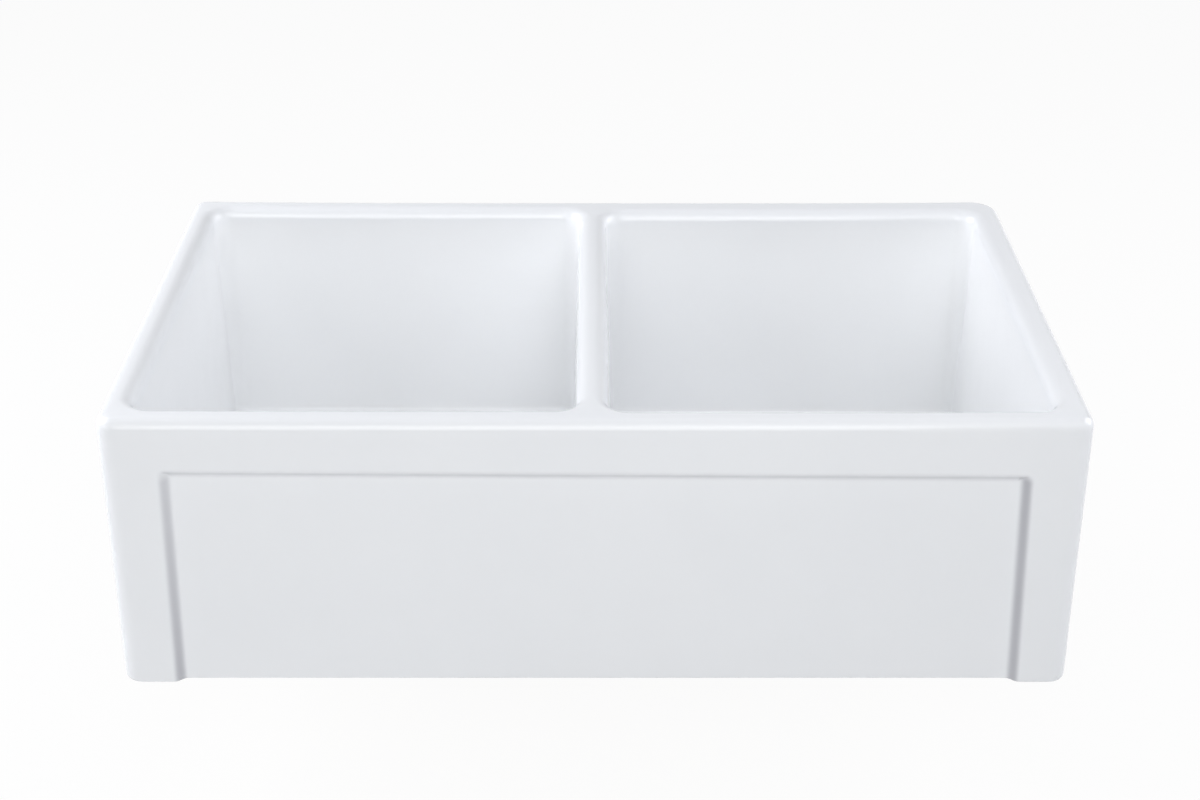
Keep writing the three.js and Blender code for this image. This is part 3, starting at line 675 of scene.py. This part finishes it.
def rolled(places, thread):
    """Presses a thread's helical groove into a turned wall. It fades in and out over one turn."""
    x, y, z = places.T
    reach = np.hypot(x, y)
    wave = 0.5 - 0.5 * np.cos(2 * math.pi * z / THREAD_PITCH + np.arctan2(y, x))
    fade = np.clip(np.minimum(z - thread["foot"], thread["top"] - z) / THREAD_PITCH, 0, 1)
    on_wall = np.abs(reach - thread["radius"]) < 0.02 * MM
    share = 1 - thread["depth"] * wave * fade * on_wall / np.maximum(reach, MM)
    return np.column_stack([x * share, y * share, z])


steel = Finish("stainless_steel")
turning = steel.add("Attribute", attribute_name="turning").outputs["Vector"]
fine_lines = steel.noise(1.0, 3.0, 0.6, steel.stretch(turning, 3.0, 3.0, 7000.0))
broad_lines = steel.noise(1.0, 2.0, 0.5, steel.stretch(turning, 1.5, 1.5, 900.0))
smears = steel.noise(55.0, 3.0)
steel_colour = steel.colours(broad_lines, (0.3, STEEL_DARK), (0.7, STEEL_PALE))
steel_gloss = steel.math("ADD", steel.spread(fine_lines, 0.15, 0.3), steel.spread(smears, -0.03, 0.05))
steel_grain = steel.bump(fine_lines, 0.006 * MM)
steel.make(Base_Color=steel_colour, Metallic=1.0, Roughness=steel_gloss, Normal=steel_grain)

STRAINER_SECTION = [
    (CUP_OUTSIDE, CUP_FOOT), (CUP_OUTSIDE, FLANGE_UNDER), (FLANGE_EDGE - 0.3 * MM, FLANGE_UNDER),
    (FLANGE_EDGE, FLANGE_UNDER + 0.4 * MM), (FLANGE_EDGE - 0.3 * MM, FLANGE_TOP - 0.5 * MM),
    (FLANGE_EDGE - 1.4 * MM, FLANGE_TOP), (CUP_BORE + 5 * MM, FLANGE_TOP - 0.15 * MM),
    (CUP_BORE + 1.9 * MM, FLANGE_TOP - 0.9 * MM), (CUP_BORE + 0.5 * MM, FLANGE_TOP - 2.6 * MM),
    (CUP_BORE, FLANGE_TOP - 5 * MM), (CUP_BORE, SEAL_SEAT + SEAT_SLOPE + 2.2 * MM),
    (CUP_BORE - 2.6 * MM, SEAL_SEAT + SEAT_SLOPE - MM), (SEAT_RING + MM, SEAL_SEAT + 0.5 * MM),
    (SEAT_RING - MM, SEAL_SEAT), (NECK_BORE, SEAL_SEAT), (NECK_BORE, NECK_FOOT), (NECK_OUTSIDE, NECK_FOOT),
    (NECK_OUTSIDE, CUP_SOLE), (SEAT_RING + 2.6 * MM, CUP_SOLE),
]
for side, middle in DRAINS.items():
    section = with_rows(with_rows(eased(STRAINER_SECTION, 0.9 * MM, 4), CUP_THREAD), NECK_THREAD)
    cup = turned(f"strainer_body_{side}_pressed", section, middle, 120, True,
                 lambda places: rolled(rolled(places, CUP_THREAD), NECK_THREAD))
    show(cup, steel.material, "sink", f"strainer_body_{side}")

# ---- Spiders ----
# A cast cross in the neck of each strainer, four arms on a hub. It steadies the basket's post and
# stops anything large from following the water down.
SPIDER_TOP = -25.8 * MM
SPIDER_FOOT = -30.8 * MM
SPIDER_HUB = 7 * MM
SPIDER_BORE = 3.4 * MM
SPIDER_REACH = 20.3 * MM
SPIDER_ARM = 3.6 * MM
SPIDER_ARMS = 4
ARM_STATIONS = 9
ARM_ROUND = 1.2 * MM


def axis_copies():
    """A tree of nodes that sets copies of one cell round the upright axis and welds them together."""
    tree = bpy.data.node_groups.new("copies_round_the_axis", "GeometryNodeTree")
    tree.is_modifier = True
    for name, kind in (("Cell", "Geometry"), ("Count", "Int"), ("Weld", "Float"), ("Finish", "Material")):
        tree.interface.new_socket(name, in_out="INPUT", socket_type="NodeSocket" + kind)
    tree.interface.new_socket("Piece", in_out="OUTPUT", socket_type="NodeSocketGeometry")
    given = tree.nodes.new("NodeGroupInput").outputs
    nodes = Nodes(tree)

    def result(kind, **inputs):
        return nodes.add(kind, inputs, "GeometryNode").outputs[0]

    share = nodes.math("DIVIDE", result("InputIndex"), given["Count"])
    upright = nodes.add("CombineXYZ", {"Z": nodes.math("MULTIPLY", share, 2 * math.pi)}).outputs[0]
    points = result("Points", Count=given["Count"])
    copies = result("InstanceOnPoints", Points=points, Instance=given["Cell"], Rotation=upright)
    real = result("RealizeInstances", Geometry=copies)
    welded = result("MergeByDistance", Geometry=real, Distance=given["Weld"])
    finished = result("SetMaterial", Geometry=welded, Material=given["Finish"])
    tree.links.new(finished, tree.nodes.new("NodeGroupOutput").inputs["Piece"])
    return tree


def repeated(cell, count, material):
    """Copies of a cell round the axis, made one plain mesh. The cell itself is used up."""
    carrier = bpy.data.objects.new(cell.name, cell)
    bpy.context.scene.collection.objects.link(carrier)
    modifier = carrier.modifiers.new("copies", "NODES")
    modifier.node_group = COPIES
    values = {"Count": count, "Weld": 2 * WELD, "Finish": material}
    for socket in COPIES.interface.items_tree:
        if socket.in_out == "INPUT" and socket.name in values:
            modifier[socket.identifier] = values[socket.name]
    evaluated = carrier.evaluated_get(bpy.context.evaluated_depsgraph_get())
    mesh = bpy.data.meshes.new_from_object(evaluated)
    bpy.data.objects.remove(carrier)
    return mesh


def joined(name, *meshes, sharp=None):
    """Several meshes made one, with shared points welded."""
    skin = bmesh.new()
    for mesh in meshes:
        skin.from_mesh(mesh)
    bmesh.ops.remove_doubles(skin, verts=skin.verts, dist=WELD)
    mesh = bpy.data.meshes.new(name)
    skin.to_mesh(mesh)
    skin.free()
    mesh.shade_smooth()
    if sharp:
        mesh.set_sharp_from_angle(angle=math.radians(sharp))
    return mesh


def spider_arm():
    """One arm: a bar with rounded edges that swells a little where it meets the hub and the neck."""
    corners = quarter(ARM_ROUND, 3)
    arm = Shell()
    rings = []
    half_height = (SPIDER_TOP - SPIDER_FOOT) / 2
    for share in np.linspace(0, 1, ARM_STATIONS):
        half = SPIDER_ARM / 2 * (0.8 + 0.2 * (2 * share - 1) ** 2)
        outline = []
        for side_y, side_z in ((1, -1), (1, 1), (-1, 1), (-1, -1)):
            spots = [(side_y * (half - run), side_z * (half_height - left)) for run, left in corners]
            outline += spots if side_y * side_z > 0 else spots[::-1]
        x = SPIDER_HUB * 0.7 + (SPIDER_REACH - SPIDER_HUB * 0.7) * share
        rings.append([(x, y, (SPIDER_TOP + SPIDER_FOOT) / 2 + z) for y, z in outline])
    arm.chain(rings)
    count = len(rings[0])
    arm.faces.append(list(range(count))[::-1])
    arm.faces.append(list(range(arm.count - count, arm.count)))
    return arm.mesh("spider_arm")


COPIES = axis_copies()
for side, middle in DRAINS.items():
    hub_section = eased(flat_ring(SPIDER_BORE, SPIDER_HUB, SPIDER_FOOT, SPIDER_TOP), MM)
    hub = turned_skin("spider_hub", hub_section, 48, True)
    arms = repeated(spider_arm(), SPIDER_ARMS, steel.material)
    spider = set_at(joined(f"spider_{side}_cast", hub, arms, sharp=50), middle)
    show(spider, steel.material, "sink", f"spider_{side}")

# ---- Lower gaskets and friction rings ----
# Under the clay a thick moulded rubber ring seals the cup, and a thin ring of pressed fibre below it
# lets the lock nut turn without dragging the rubber round.
RUBBER_INNER = 42.6 * MM
RUBBER_OUTER = 56.6 * MM
RUBBER_FOOT = 1.7 * MM
RUBBER_TOP = 4.7 * MM
FIBRE_OUTER = 55.1 * MM
FIBRE_FOOT = 0.4 * MM
FIBRE_TOP = 1.4 * MM
RUBBER_DARK = (0.018, 0.018, 0.019)
RUBBER_PALE = (0.045, 0.045, 0.047)
FIBRE_DARK = (0.30, 0.20, 0.11)
FIBRE_PALE = (0.50, 0.37, 0.23)

rubber = Finish("black_rubber")
bloom = rubber.noise(90.0, 4.0, 0.6)
rubber_colour = rubber.colours(bloom, (0.35, RUBBER_DARK), (0.75, RUBBER_PALE))
rubber_grain = rubber.bump(rubber.noise(1600.0, 2.0), 0.03 * MM)
rubber.make(Base_Color=rubber_colour, Roughness=rubber.spread(bloom, 0.45, 0.72), Normal=rubber_grain)

fibre = Finish("pressed_fibre")
strands = fibre.noise(420.0, 5.0, 0.7)
flecks = fibre.noise(1400.0, 2.0, 0.6)
fibre_colour = fibre.colours(strands, (0.3, FIBRE_DARK), (0.7, FIBRE_PALE))
fibre_grain = fibre.bump(flecks, 0.08 * MM)
fibre.make(Base_Color=fibre_colour, Roughness=fibre.spread(flecks, 0.8, 0.98), Normal=fibre_grain)

for side, middle in DRAINS.items():
    ring = flat_ring(RUBBER_INNER, RUBBER_OUTER, RUBBER_FOOT, RUBBER_TOP)
    gasket = turned(f"lower_gasket_{side}_rubber", eased(ring, 0.8 * MM, 4), middle)
    show(gasket, rubber.material, "sink", f"lower_gasket_{side}")
    ring = flat_ring(RUBBER_INNER, FIBRE_OUTER, FIBRE_FOOT, FIBRE_TOP)
    washer = turned(f"friction_ring_{side}_fibre", eased(ring, 0.2 * MM, 2), middle)
    show(washer, fibre.material, "sink", f"friction_ring_{side}")

# ---- Lock nuts ----
# A brass casting that screws up the cup and clamps the clay. Eight lugs stand out of it for a drain
# wrench, and a flange round its top spreads the load.
NUT_BORE = 42.6 * MM
NUT_BARREL = 49.6 * MM
NUT_FLANGE_EDGE = 56.6 * MM
NUT_TOP = 0.1 * MM
NUT_FLANGE_UNDER = -2.6 * MM
NUT_FOOT = -11.9 * MM
LUGS = 8
LUG_TIP = 57.6 * MM
LUG_HALF_TURN = math.asin(6.5 / 57.6)
LUG_FLANK_TURN = math.radians(3.2)
NUT_COLUMNS = 28
NUT_BEVEL = 2.2 * MM
BRASS_DARK = (0.42, 0.29, 0.13)
BRASS_PALE = (0.66, 0.49, 0.25)

brass = Finish("cast_brass")
sand = brass.noise(900.0, 3.0, 0.6)
tarnish = brass.noise(60.0, 4.0, 0.6)
brass_colour = brass.colours(tarnish, (0.3, BRASS_DARK), (0.65, BRASS_PALE))
brass_gloss = brass.spread(sand, 0.32, 0.55)
brass.make(Base_Color=brass_colour, Metallic=1.0, Roughness=brass_gloss, Normal=brass.bump(sand, 0.08 * MM))


def lug_cell():
    """One eighth of the nut: a lug in the middle, half of a gap on each side."""
    half = math.pi / LUGS
    cell = Shell()
    starts = []
    for angle in np.linspace(-half, half, NUT_COLUMNS + 1):
        out = 1 - smooth_step(abs(angle), LUG_HALF_TURN - LUG_FLANK_TURN, LUG_HALF_TURN + LUG_FLANK_TURN)
        reach = NUT_BARREL + (LUG_TIP - NUT_BARREL) * out
        section = eased([
            (NUT_BORE, NUT_FOOT), (reach - NUT_BEVEL * 0.4, NUT_FOOT), (reach, NUT_FOOT + NUT_BEVEL),
            (reach, NUT_FLANGE_UNDER - 0.4 * MM), (NUT_FLANGE_EDGE - 0.3 * MM, NUT_FLANGE_UNDER),
            (NUT_FLANGE_EDGE, NUT_FLANGE_UNDER + 0.5 * MM), (NUT_FLANGE_EDGE, NUT_TOP), (NUT_BORE, NUT_TOP),
        ], 0.6 * MM)
        section = np.array(section)
        x, y = section[:, 0] * math.cos(angle), section[:, 0] * math.sin(angle)
        starts.append(cell.ring(np.column_stack([x, y, section[:, 1]])))
    count = len(section)
    for first, second in zip(starts, starts[1:]):
        cell.band(second, first, count)
    return cell.mesh("lug_cell")


for side, middle in DRAINS.items():
    lugs = repeated(lug_cell(), LUGS, brass.material)
    nut = set_at(joined(f"lock_nut_{side}_cast", lugs, sharp=60), middle)
    show(nut, brass.material, "sink", f"lock_nut_{side}")

# ---- Tailpieces with their washers and coupling nuts ----
# A drawn brass tube, chromed, with a flared flange at its top. A slip nut pulls the flange up to the
# strainer's neck against a white plastic washer, and the tube's plain foot goes on to the trap.
TAIL_BORE = 17.55 * MM
TAIL_OUTSIDE = 19.05 * MM
TAIL_FLANGE = 23 * MM
TAIL_TOP = -45.9 * MM
TAIL_FLANGE_UNDER = -47.5 * MM
TAIL_FOOT = -147.5 * MM
WASHER_TOP = -43.2 * MM
WASHER_FOOT = -45.6 * MM
COUPLING_FOOT = -50.8 * MM
COUPLING_TOP = -30.8 * MM
COUPLING_LIP_TOP = -47.8 * MM
COUPLING_HOLE = 19.35 * MM
COUPLING_BORE = 23.6 * MM
COUPLING_FLAT = 28 * MM
COUPLING_CORNER = 31.6 * MM
NUT_CHAMFER = math.tan(math.radians(60))
CHROME_DARK = (0.66, 0.67, 0.685)
CHROME_PALE = (0.74, 0.745, 0.755)
PLASTIC_DEEP = (0.80, 0.80, 0.78)
PLASTIC_PALE = (0.87, 0.87, 0.86)

chrome = Finish("chromed_brass")
haze = chrome.noise(70.0, 3.0)
chrome_turning = chrome.add("Attribute", attribute_name="turning").outputs["Vector"]
draw_lines = chrome.noise(1.0, 2.0, 0.5, chrome.stretch(chrome_turning, 220.0, 220.0, 12.0))
chrome_colour = chrome.colours(haze, (0.3, CHROME_DARK), (0.7, CHROME_PALE))
chrome_gloss = chrome.math("ADD", chrome.spread(haze, 0.05, 0.12), chrome.spread(draw_lines, 0.0, 0.03))
chrome_grain = chrome.bump(draw_lines, 0.002 * MM)
chrome.make(Base_Color=chrome_colour, Metallic=1.0, Roughness=chrome_gloss, Normal=chrome_grain)

plastic = Finish("white_plastic")
flow = plastic.noise(120.0, 2.0)
plastic_colour = plastic.colours(flow, (0.35, PLASTIC_DEEP), (0.65, PLASTIC_PALE))
plastic_grain = plastic.bump(plastic.noise(1100.0, 2.0), 0.01 * MM)
plastic.make(Base_Color=plastic_colour, Roughness=plastic.spread(flow, 0.38, 0.5), Normal=plastic_grain)


def hexagon_nut(name, flat, corner, foot, top, inside, middle, steps):
    """A six-sided nut whose corners are turned off at both ends. Its inside is given from top to foot."""
    turns = np.linspace(0, 2 * math.pi, steps, endpoint=False)
    outline = np.minimum(flat / np.cos(np.mod(turns, math.pi / 3) - math.pi / 6), corner)
    fall = (corner - flat) / NUT_CHAMFER
    near = np.concatenate([np.linspace(0, 1.2 * fall, 7), [2.2 * fall]])
    heights = np.concatenate([foot + near, top - near[::-1]])
    skin = Shell()
    rings = []
    for height in heights:
        from_end = min(height - foot, top - height)
        reach = np.minimum(outline, flat - 0.2 * MM + from_end * NUT_CHAMFER)
        rings.append(circle_ring((0, 0), reach, height, turns))
    for radius, height in inside:
        rings.append(circle_ring((0, 0), radius, height, turns))
    skin.chain(rings + rings[:1])
    mesh = skin.mesh(name)
    mesh.set_sharp_from_angle(angle=math.radians(28))
    return set_at(mesh, middle)


for side, middle in DRAINS.items():
    ring = flat_ring(TAIL_BORE, TAIL_FLANGE, WASHER_FOOT, WASHER_TOP)
    washer = turned(f"tailpiece_washer_{side}_plastic", eased(ring, 0.4 * MM), middle, 72)
    show(washer, plastic.material, "sink", f"tailpiece_washer_{side}")
    tube = eased([
        (TAIL_BORE, TAIL_FOOT), (TAIL_OUTSIDE, TAIL_FOOT), (TAIL_OUTSIDE, TAIL_FLANGE_UNDER),
        (TAIL_FLANGE, TAIL_FLANGE_UNDER), (TAIL_FLANGE, TAIL_TOP), (TAIL_BORE, TAIL_TOP),
    ], 0.35 * MM)
    pipe = turned(f"tailpiece_{side}_tube", tube, middle, 96)
    show(pipe, chrome.material, "sink", f"tailpiece_{side}")
    inside = [(COUPLING_BORE + 0.6 * MM, COUPLING_TOP), (COUPLING_BORE, COUPLING_TOP - 0.6 * MM),
              (COUPLING_BORE, COUPLING_LIP_TOP), (COUPLING_HOLE, COUPLING_LIP_TOP),
              (COUPLING_HOLE, COUPLING_FOOT + 0.4 * MM), (COUPLING_HOLE + 0.4 * MM, COUPLING_FOOT)]
    nut = hexagon_nut(f"coupling_nut_{side}_hexagon", COUPLING_FLAT, COUPLING_CORNER, COUPLING_FOOT,
                      COUPLING_TOP, inside, middle, 144)
    show(nut, chrome.material, "sink", f"coupling_nut_{side}")

# ---- Baskets ----
# Lift-out cups pressed from thin stainless sheet. Sixteen slots are punched round the wall and ten
# holes through the bottom, and the thick rim sits loose in the strainer's throat.
BASKET_FOOT = -15.7 * MM
BASKET_TOP = 16 * MM
BASKET_SHEET = 0.9 * MM
BASKET_RIM_EDGE = 39.1 * MM
BASKET_TOP_RADIUS = 36.9 * MM
BASKET_FOOT_RADIUS = 31.9 * MM
BASKET_RIM_UNDER = 14.2 * MM
BASKET_WALL_FOOT = -12.6 * MM
BASKET_WALL_TOP = 12.8 * MM
BASKET_FLOOR_EDGE = 29.2 * MM
BASKET_POST_HOLE = 3.4 * MM
SLOTS = 16
SLOT_WIDTH = 3.4 * MM
SLOT_HEIGHT = 15 * MM
SLOT_MIDDLE = 0.15 * MM
DRAIN_HOLES = 10
DRAIN_HOLE_RADIUS = 2.4 * MM
DRAIN_HOLE_CIRCLE = 19.45 * MM
PUNCH_STEPS = 24
PUNCH_EASE = 0.18 * MM
BASKET_STEPS = 80


def basket_wall_radius(height):
    lean = (BASKET_TOP_RADIUS - BASKET_FOOT_RADIUS) / (BASKET_RIM_UNDER - BASKET_FOOT - 2 * BASKET_SHEET)
    return BASKET_FOOT_RADIUS + lean * (height - BASKET_FOOT - 2 * BASKET_SHEET)


def punched(name, outline, opening, spacing, surface):
    """A cell of sheet metal with one punched opening. The surface gives a flat spot's place at a depth."""
    cell = Shell()
    grown = opening(PUNCH_EASE)
    spots, triangles = filled(outline, [grown], spacing)
    front = cell.ring(surface(spots, 0.0))
    cell.faces += (triangles + front).tolist()
    back = cell.ring(surface(spots, BASKET_SHEET))
    cell.faces += (triangles[:, ::-1] + back).tolist()
    edge = [surface(opening(grow), depth) for grow, depth in (
        (PUNCH_EASE, 0.0), (0.3 * PUNCH_EASE, 0.3 * PUNCH_EASE), (0.0, PUNCH_EASE),
        (0.0, BASKET_SHEET - PUNCH_EASE), (0.3 * PUNCH_EASE, BASKET_SHEET - 0.3 * PUNCH_EASE),
        (PUNCH_EASE, BASKET_SHEET))]
    cell.chain(edge)
    return cell.mesh(name)


def slot_cell():
    """A sixteenth of the wall, laid out flat as (run round the wall, height), with its slot."""
    turn = 2 * math.pi / SLOTS
    middle_radius = basket_wall_radius(SLOT_MIDDLE)
    across = np.linspace(0, turn * middle_radius, BASKET_STEPS // SLOTS + 1)
    up = np.linspace(BASKET_WALL_FOOT, BASKET_WALL_TOP, 9)
    outline = [(x, up[0]) for x in across[:-1]] + [(across[-1], y) for y in up[:-1]]
    outline += [(x, up[-1]) for x in across[:0:-1]] + [(across[0], y) for y in up[:0:-1]]

    def opening(grow):
        radius = SLOT_WIDTH / 2 + grow
        half = SLOT_HEIGHT / 2 - SLOT_WIDTH / 2
        turns = np.linspace(0, math.pi, PUNCH_STEPS // 2 + 1)
        upper = [(radius * math.cos(a), half + radius * math.sin(a)) for a in turns]
        right = [(radius, y) for y in np.linspace(-half, half, 7)[1:-1]]
        half_way = np.array(right + upper)
        return np.concatenate([half_way, -half_way]) + (across[-1] / 2, SLOT_MIDDLE)

    def surface(spots, depth):
        radius = basket_wall_radius(spots[:, 1]) - depth
        angle = spots[:, 0] / middle_radius
        return np.column_stack([radius * np.cos(angle), radius * np.sin(angle), spots[:, 1]])

    return punched("slot_cell", np.array(outline), opening, 1.3 * MM, surface)


def hole_cell():
    """A tenth of the bottom, seen from below, with its round hole."""
    half = math.pi / DRAIN_HOLES
    steps = BASKET_STEPS // DRAIN_HOLES
    turns = np.linspace(-half, half, steps + 1)
    radii = np.linspace(BASKET_POST_HOLE, BASKET_FLOOR_EDGE, 12)
    outline = [(r * math.cos(half), -r * math.sin(half)) for r in radii[:-1]]
    outline += [(radii[-1] * math.cos(a), radii[-1] * math.sin(a)) for a in turns[:-1]]
    outline += [(r * math.cos(half), r * math.sin(half)) for r in radii[:0:-1]]
    outline += [(radii[0] * math.cos(a), radii[0] * math.sin(a)) for a in turns[:0:-1]]

    def opening(grow):
        angles = np.linspace(0, 2 * math.pi, PUNCH_STEPS, endpoint=False)
        radius = DRAIN_HOLE_RADIUS + grow
        return np.column_stack([DRAIN_HOLE_CIRCLE + radius * np.cos(angles), radius * np.sin(angles)])

    def surface(spots, depth):
        return np.column_stack([spots, np.full(len(spots), BASKET_FOOT + BASKET_SHEET - depth)])

    return punched("hole_cell", np.array(outline), opening, 2.2 * MM, surface)


def curved(start, knee, end, steps=5):
    """Points on a smooth bend from start to end, with its knee between them."""
    shares = np.linspace(0, 1, steps + 1)[:, None]
    start, knee, end = (np.array(point, float) for point in (start, knee, end))
    return (1 - shares) ** 2 * start + 2 * shares * (1 - shares) * knee + shares ** 2 * end


def basket_mesh(name):
    wall_foot, wall_top = basket_wall_radius(BASKET_WALL_FOOT), basket_wall_radius(BASKET_WALL_TOP)
    inner = BASKET_SHEET
    bend = curved((BASKET_FLOOR_EDGE, BASKET_FOOT), (wall_foot - 0.4 * MM, BASKET_FOOT),
                  (wall_foot, BASKET_WALL_FOOT))
    lining = curved((wall_foot - inner, BASKET_WALL_FOOT), (wall_foot - inner - 0.4 * MM, BASKET_FOOT + inner),
                    (BASKET_FLOOR_EDGE, BASKET_FOOT + inner))
    rim_edge = [(BASKET_RIM_EDGE, BASKET_RIM_UNDER + 0.3 * MM), (BASKET_RIM_EDGE, BASKET_TOP - 0.6 * MM)]
    rim = [*curved((wall_top, BASKET_WALL_TOP), (wall_top + 0.2 * MM, BASKET_RIM_UNDER),
                   (wall_top + 1.4 * MM, BASKET_RIM_UNDER), 4),
           (BASKET_RIM_EDGE - 0.3 * MM, BASKET_RIM_UNDER), *rim_edge,
           *curved((BASKET_RIM_EDGE - 0.1 * MM, BASKET_TOP - 0.3 * MM),
                   (BASKET_RIM_EDGE - 0.3 * MM, BASKET_TOP), (BASKET_RIM_EDGE - 0.9 * MM, BASKET_TOP), 3),
           *curved((BASKET_TOP_RADIUS + 0.2 * MM, BASKET_TOP), (wall_top - inner + 0.1 * MM, BASKET_TOP),
                   (wall_top - inner, BASKET_WALL_TOP), 6)]
    hole = [(BASKET_POST_HOLE, BASKET_FOOT + inner), (BASKET_POST_HOLE, BASKET_FOOT)]
    walls = repeated(slot_cell(), SLOTS, steel.material)
    bottom = repeated(hole_cell(), DRAIN_HOLES, steel.material)
    bands = [turned_skin("basket_band", section, BASKET_STEPS) for section in (bend, lining, rim, hole)]
    return joined(name, walls, bottom, *bands, sharp=40)


for side, middle in DRAINS.items():
    cup = set_at(basket_mesh(f"basket_{side}_sheet"), middle)
    show(cup, steel.material, f"{side}_basket", f"basket_{side}")

# ---- Posts, stopper seals and post nuts ----
# A knob and stem turned in one from bar stand up through each basket. A rubber stopper lies under
# the basket on the stem, and a small nut holds both on. Pushed down, the rubber closes the drain.
POST_RADIUS = 3 * MM
POST_TAIL = -29.5 * MM
POST_COLLAR = 5.2 * MM
POST_COLLAR_FOOT = -14.5 * MM
POST_COLLAR_TOP = -12.3 * MM
POST_STEM = 4 * MM
KNOB_TOP = 27 * MM
KNOB_RADIUS = 11 * MM
KNOB_UNDER = 18 * MM
STOPPER_FOOT = -20 * MM
STOPPER_TOP = -16 * MM
STOPPER_RADIUS = 27.3 * MM
STOPPER_BORE = 3.4 * MM
POST_NUT_FLAT = 5.8 * MM
POST_NUT_CORNER = 6.55 * MM
POST_NUT_BORE = 3.3 * MM
POST_NUT_TOP = -20.3 * MM
POST_NUT_FOOT = -23.5 * MM

POST_SECTION = [
    (0, POST_TAIL), (POST_RADIUS, POST_TAIL),
    (POST_RADIUS, POST_COLLAR_FOOT), (POST_COLLAR, POST_COLLAR_FOOT),
    (POST_COLLAR, POST_COLLAR_TOP), (POST_STEM, POST_COLLAR_TOP + 1.6 * MM), (POST_STEM, KNOB_UNDER),
    (7 * MM, KNOB_UNDER + 2.4 * MM), (KNOB_RADIUS - 0.6 * MM, KNOB_UNDER + 5 * MM),
    (KNOB_RADIUS, KNOB_UNDER + 6.4 * MM), (KNOB_RADIUS - 0.8 * MM, KNOB_TOP - 0.9 * MM),
    (KNOB_RADIUS - 3 * MM, KNOB_TOP - 0.15 * MM), (0, KNOB_TOP),
]
for side, middle in DRAINS.items():
    post = turned(f"basket_post_{side}_turned", eased(POST_SECTION, 0.9 * MM, 4), middle, 64, False)
    show(post, steel.material, f"{side}_basket", f"basket_post_{side}")
    disc = eased([
        (STOPPER_BORE, STOPPER_FOOT), (STOPPER_RADIUS, STOPPER_FOOT),
        (STOPPER_RADIUS, STOPPER_FOOT + 1.3 * MM), (STOPPER_RADIUS - 2.6 * MM, STOPPER_FOOT + 2 * MM),
        (NECK_BORE, STOPPER_TOP), (STOPPER_BORE, STOPPER_TOP),
    ], 0.7 * MM, 4)
    stopper = turned(f"stopper_seal_{side}_rubber", disc, middle, 96)
    show(stopper, rubber.material, f"{side}_basket", f"stopper_seal_{side}")
    inside = [(POST_NUT_BORE, POST_NUT_TOP), (POST_NUT_BORE, POST_NUT_FOOT)]
    nut = hexagon_nut(f"post_nut_{side}_hexagon", POST_NUT_FLAT, POST_NUT_CORNER, POST_NUT_FOOT,
                      POST_NUT_TOP, inside, middle, 72)
    show(nut, steel.material, f"{side}_basket", f"post_nut_{side}")

# ---- Floor, lamps and world ----
# A pale floor under the drains, four square softboxes round the sink, the strongest low on its left,
# and an even white surround that only the camera and the glaze's reflections see.
FLOOR_LEVEL = cad_box[0][2]
FLOOR_REACH = 6.0
FLOOR_GREY = 0.8
# How white the floor looks to the camera: the rest is its own shading, with the sink's shadow.
FLOOR_SHARE = 0.95
# How much light the surround itself gives the sink: none, the lamps give it all.
WORLD_FILL = 0.0

floor_mesh = bpy.data.meshes.new("floor")
corners = [(-1, -1), (1, -1), (1, 1), (-1, 1)]
floor_points = [(x * FLOOR_REACH, y * FLOOR_REACH, FLOOR_LEVEL) for x, y in corners]
floor_mesh.from_pydata(floor_points, [], [(0, 1, 2, 3)])
floor = bpy.data.objects.new("floor", floor_mesh)
bpy.context.scene.collection.objects.link(floor)

paper = Finish("floor_paper")
paper.make(Base_Color=(FLOOR_GREY, FLOOR_GREY, FLOOR_GREY, 1.0), Roughness=0.9)
paper.feed(paper.surface.inputs["Specular IOR Level"], 0.1)
glow = paper.add("Emission", {"Color": (1.0, 1.0, 1.0, 1.0), "Strength": 1.0}).outputs[0]
mixed = paper.add("MixShader")
paper.feed(mixed.inputs[0], paper.math("MULTIPLY", paper.seen_directly(), FLOOR_SHARE))
paper.feed(mixed.inputs[1], paper.surface.outputs[0])
paper.feed(mixed.inputs[2], glow)
paper.feed(paper.tree.nodes["Material Output"].inputs["Surface"], mixed.outputs[0])
floor_mesh.materials.append(paper.material)

world = bpy.data.worlds.new("surround")
world.use_nodes = True
sky = Nodes(world.node_tree)
backdrop = sky.tree.nodes["Background"]
backdrop.inputs["Color"].default_value = (1.0, 1.0, 1.0, 1.0)
sky.feed(backdrop.inputs["Strength"], sky.spread(sky.seen_directly(), WORLD_FILL, 1.0))
bpy.context.scene.world = world

LAMP_TARGET = Vector((0.0, 0.0, 0.15))
LAMP_REACH = 2.4
LAMP_SIZE = 1.6
NEUTRAL = (1.0, 1.0, 1.0)
COOL = (0.985, 0.992, 1.035)
# Each lamp: how far round to the right of the camera's side, how high, how strong and its tint.
LAMPS = {
    "front": (-4, 28, 26.5, NEUTRAL), "front_right_high": (28, 48, 10.0, COOL),
    "left": (-100, 28, 50.5, COOL), "right": (100, 28, 30.0, COOL),
}
for name, (round_turn, rise, power, tint) in LAMPS.items():
    lamp = bpy.data.lights.new(name, "AREA")
    lamp.shape = "SQUARE"
    lamp.size = LAMP_SIZE
    lamp.color = tint
    lamp.energy = power
    turn, tilt = math.radians(round_turn), math.radians(rise)
    aim = Vector((math.sin(turn) * math.cos(tilt), -math.cos(turn) * math.cos(tilt), math.sin(tilt)))
    stand = bpy.data.objects.new(name, lamp)
    stand.location = LAMP_TARGET + LAMP_REACH * aim
    stand.rotation_euler = (-aim).to_track_quat("-Z", "Y").to_euler()
    bpy.context.scene.collection.objects.link(stand)

bpy.context.scene.view_settings.view_transform = "Standard"
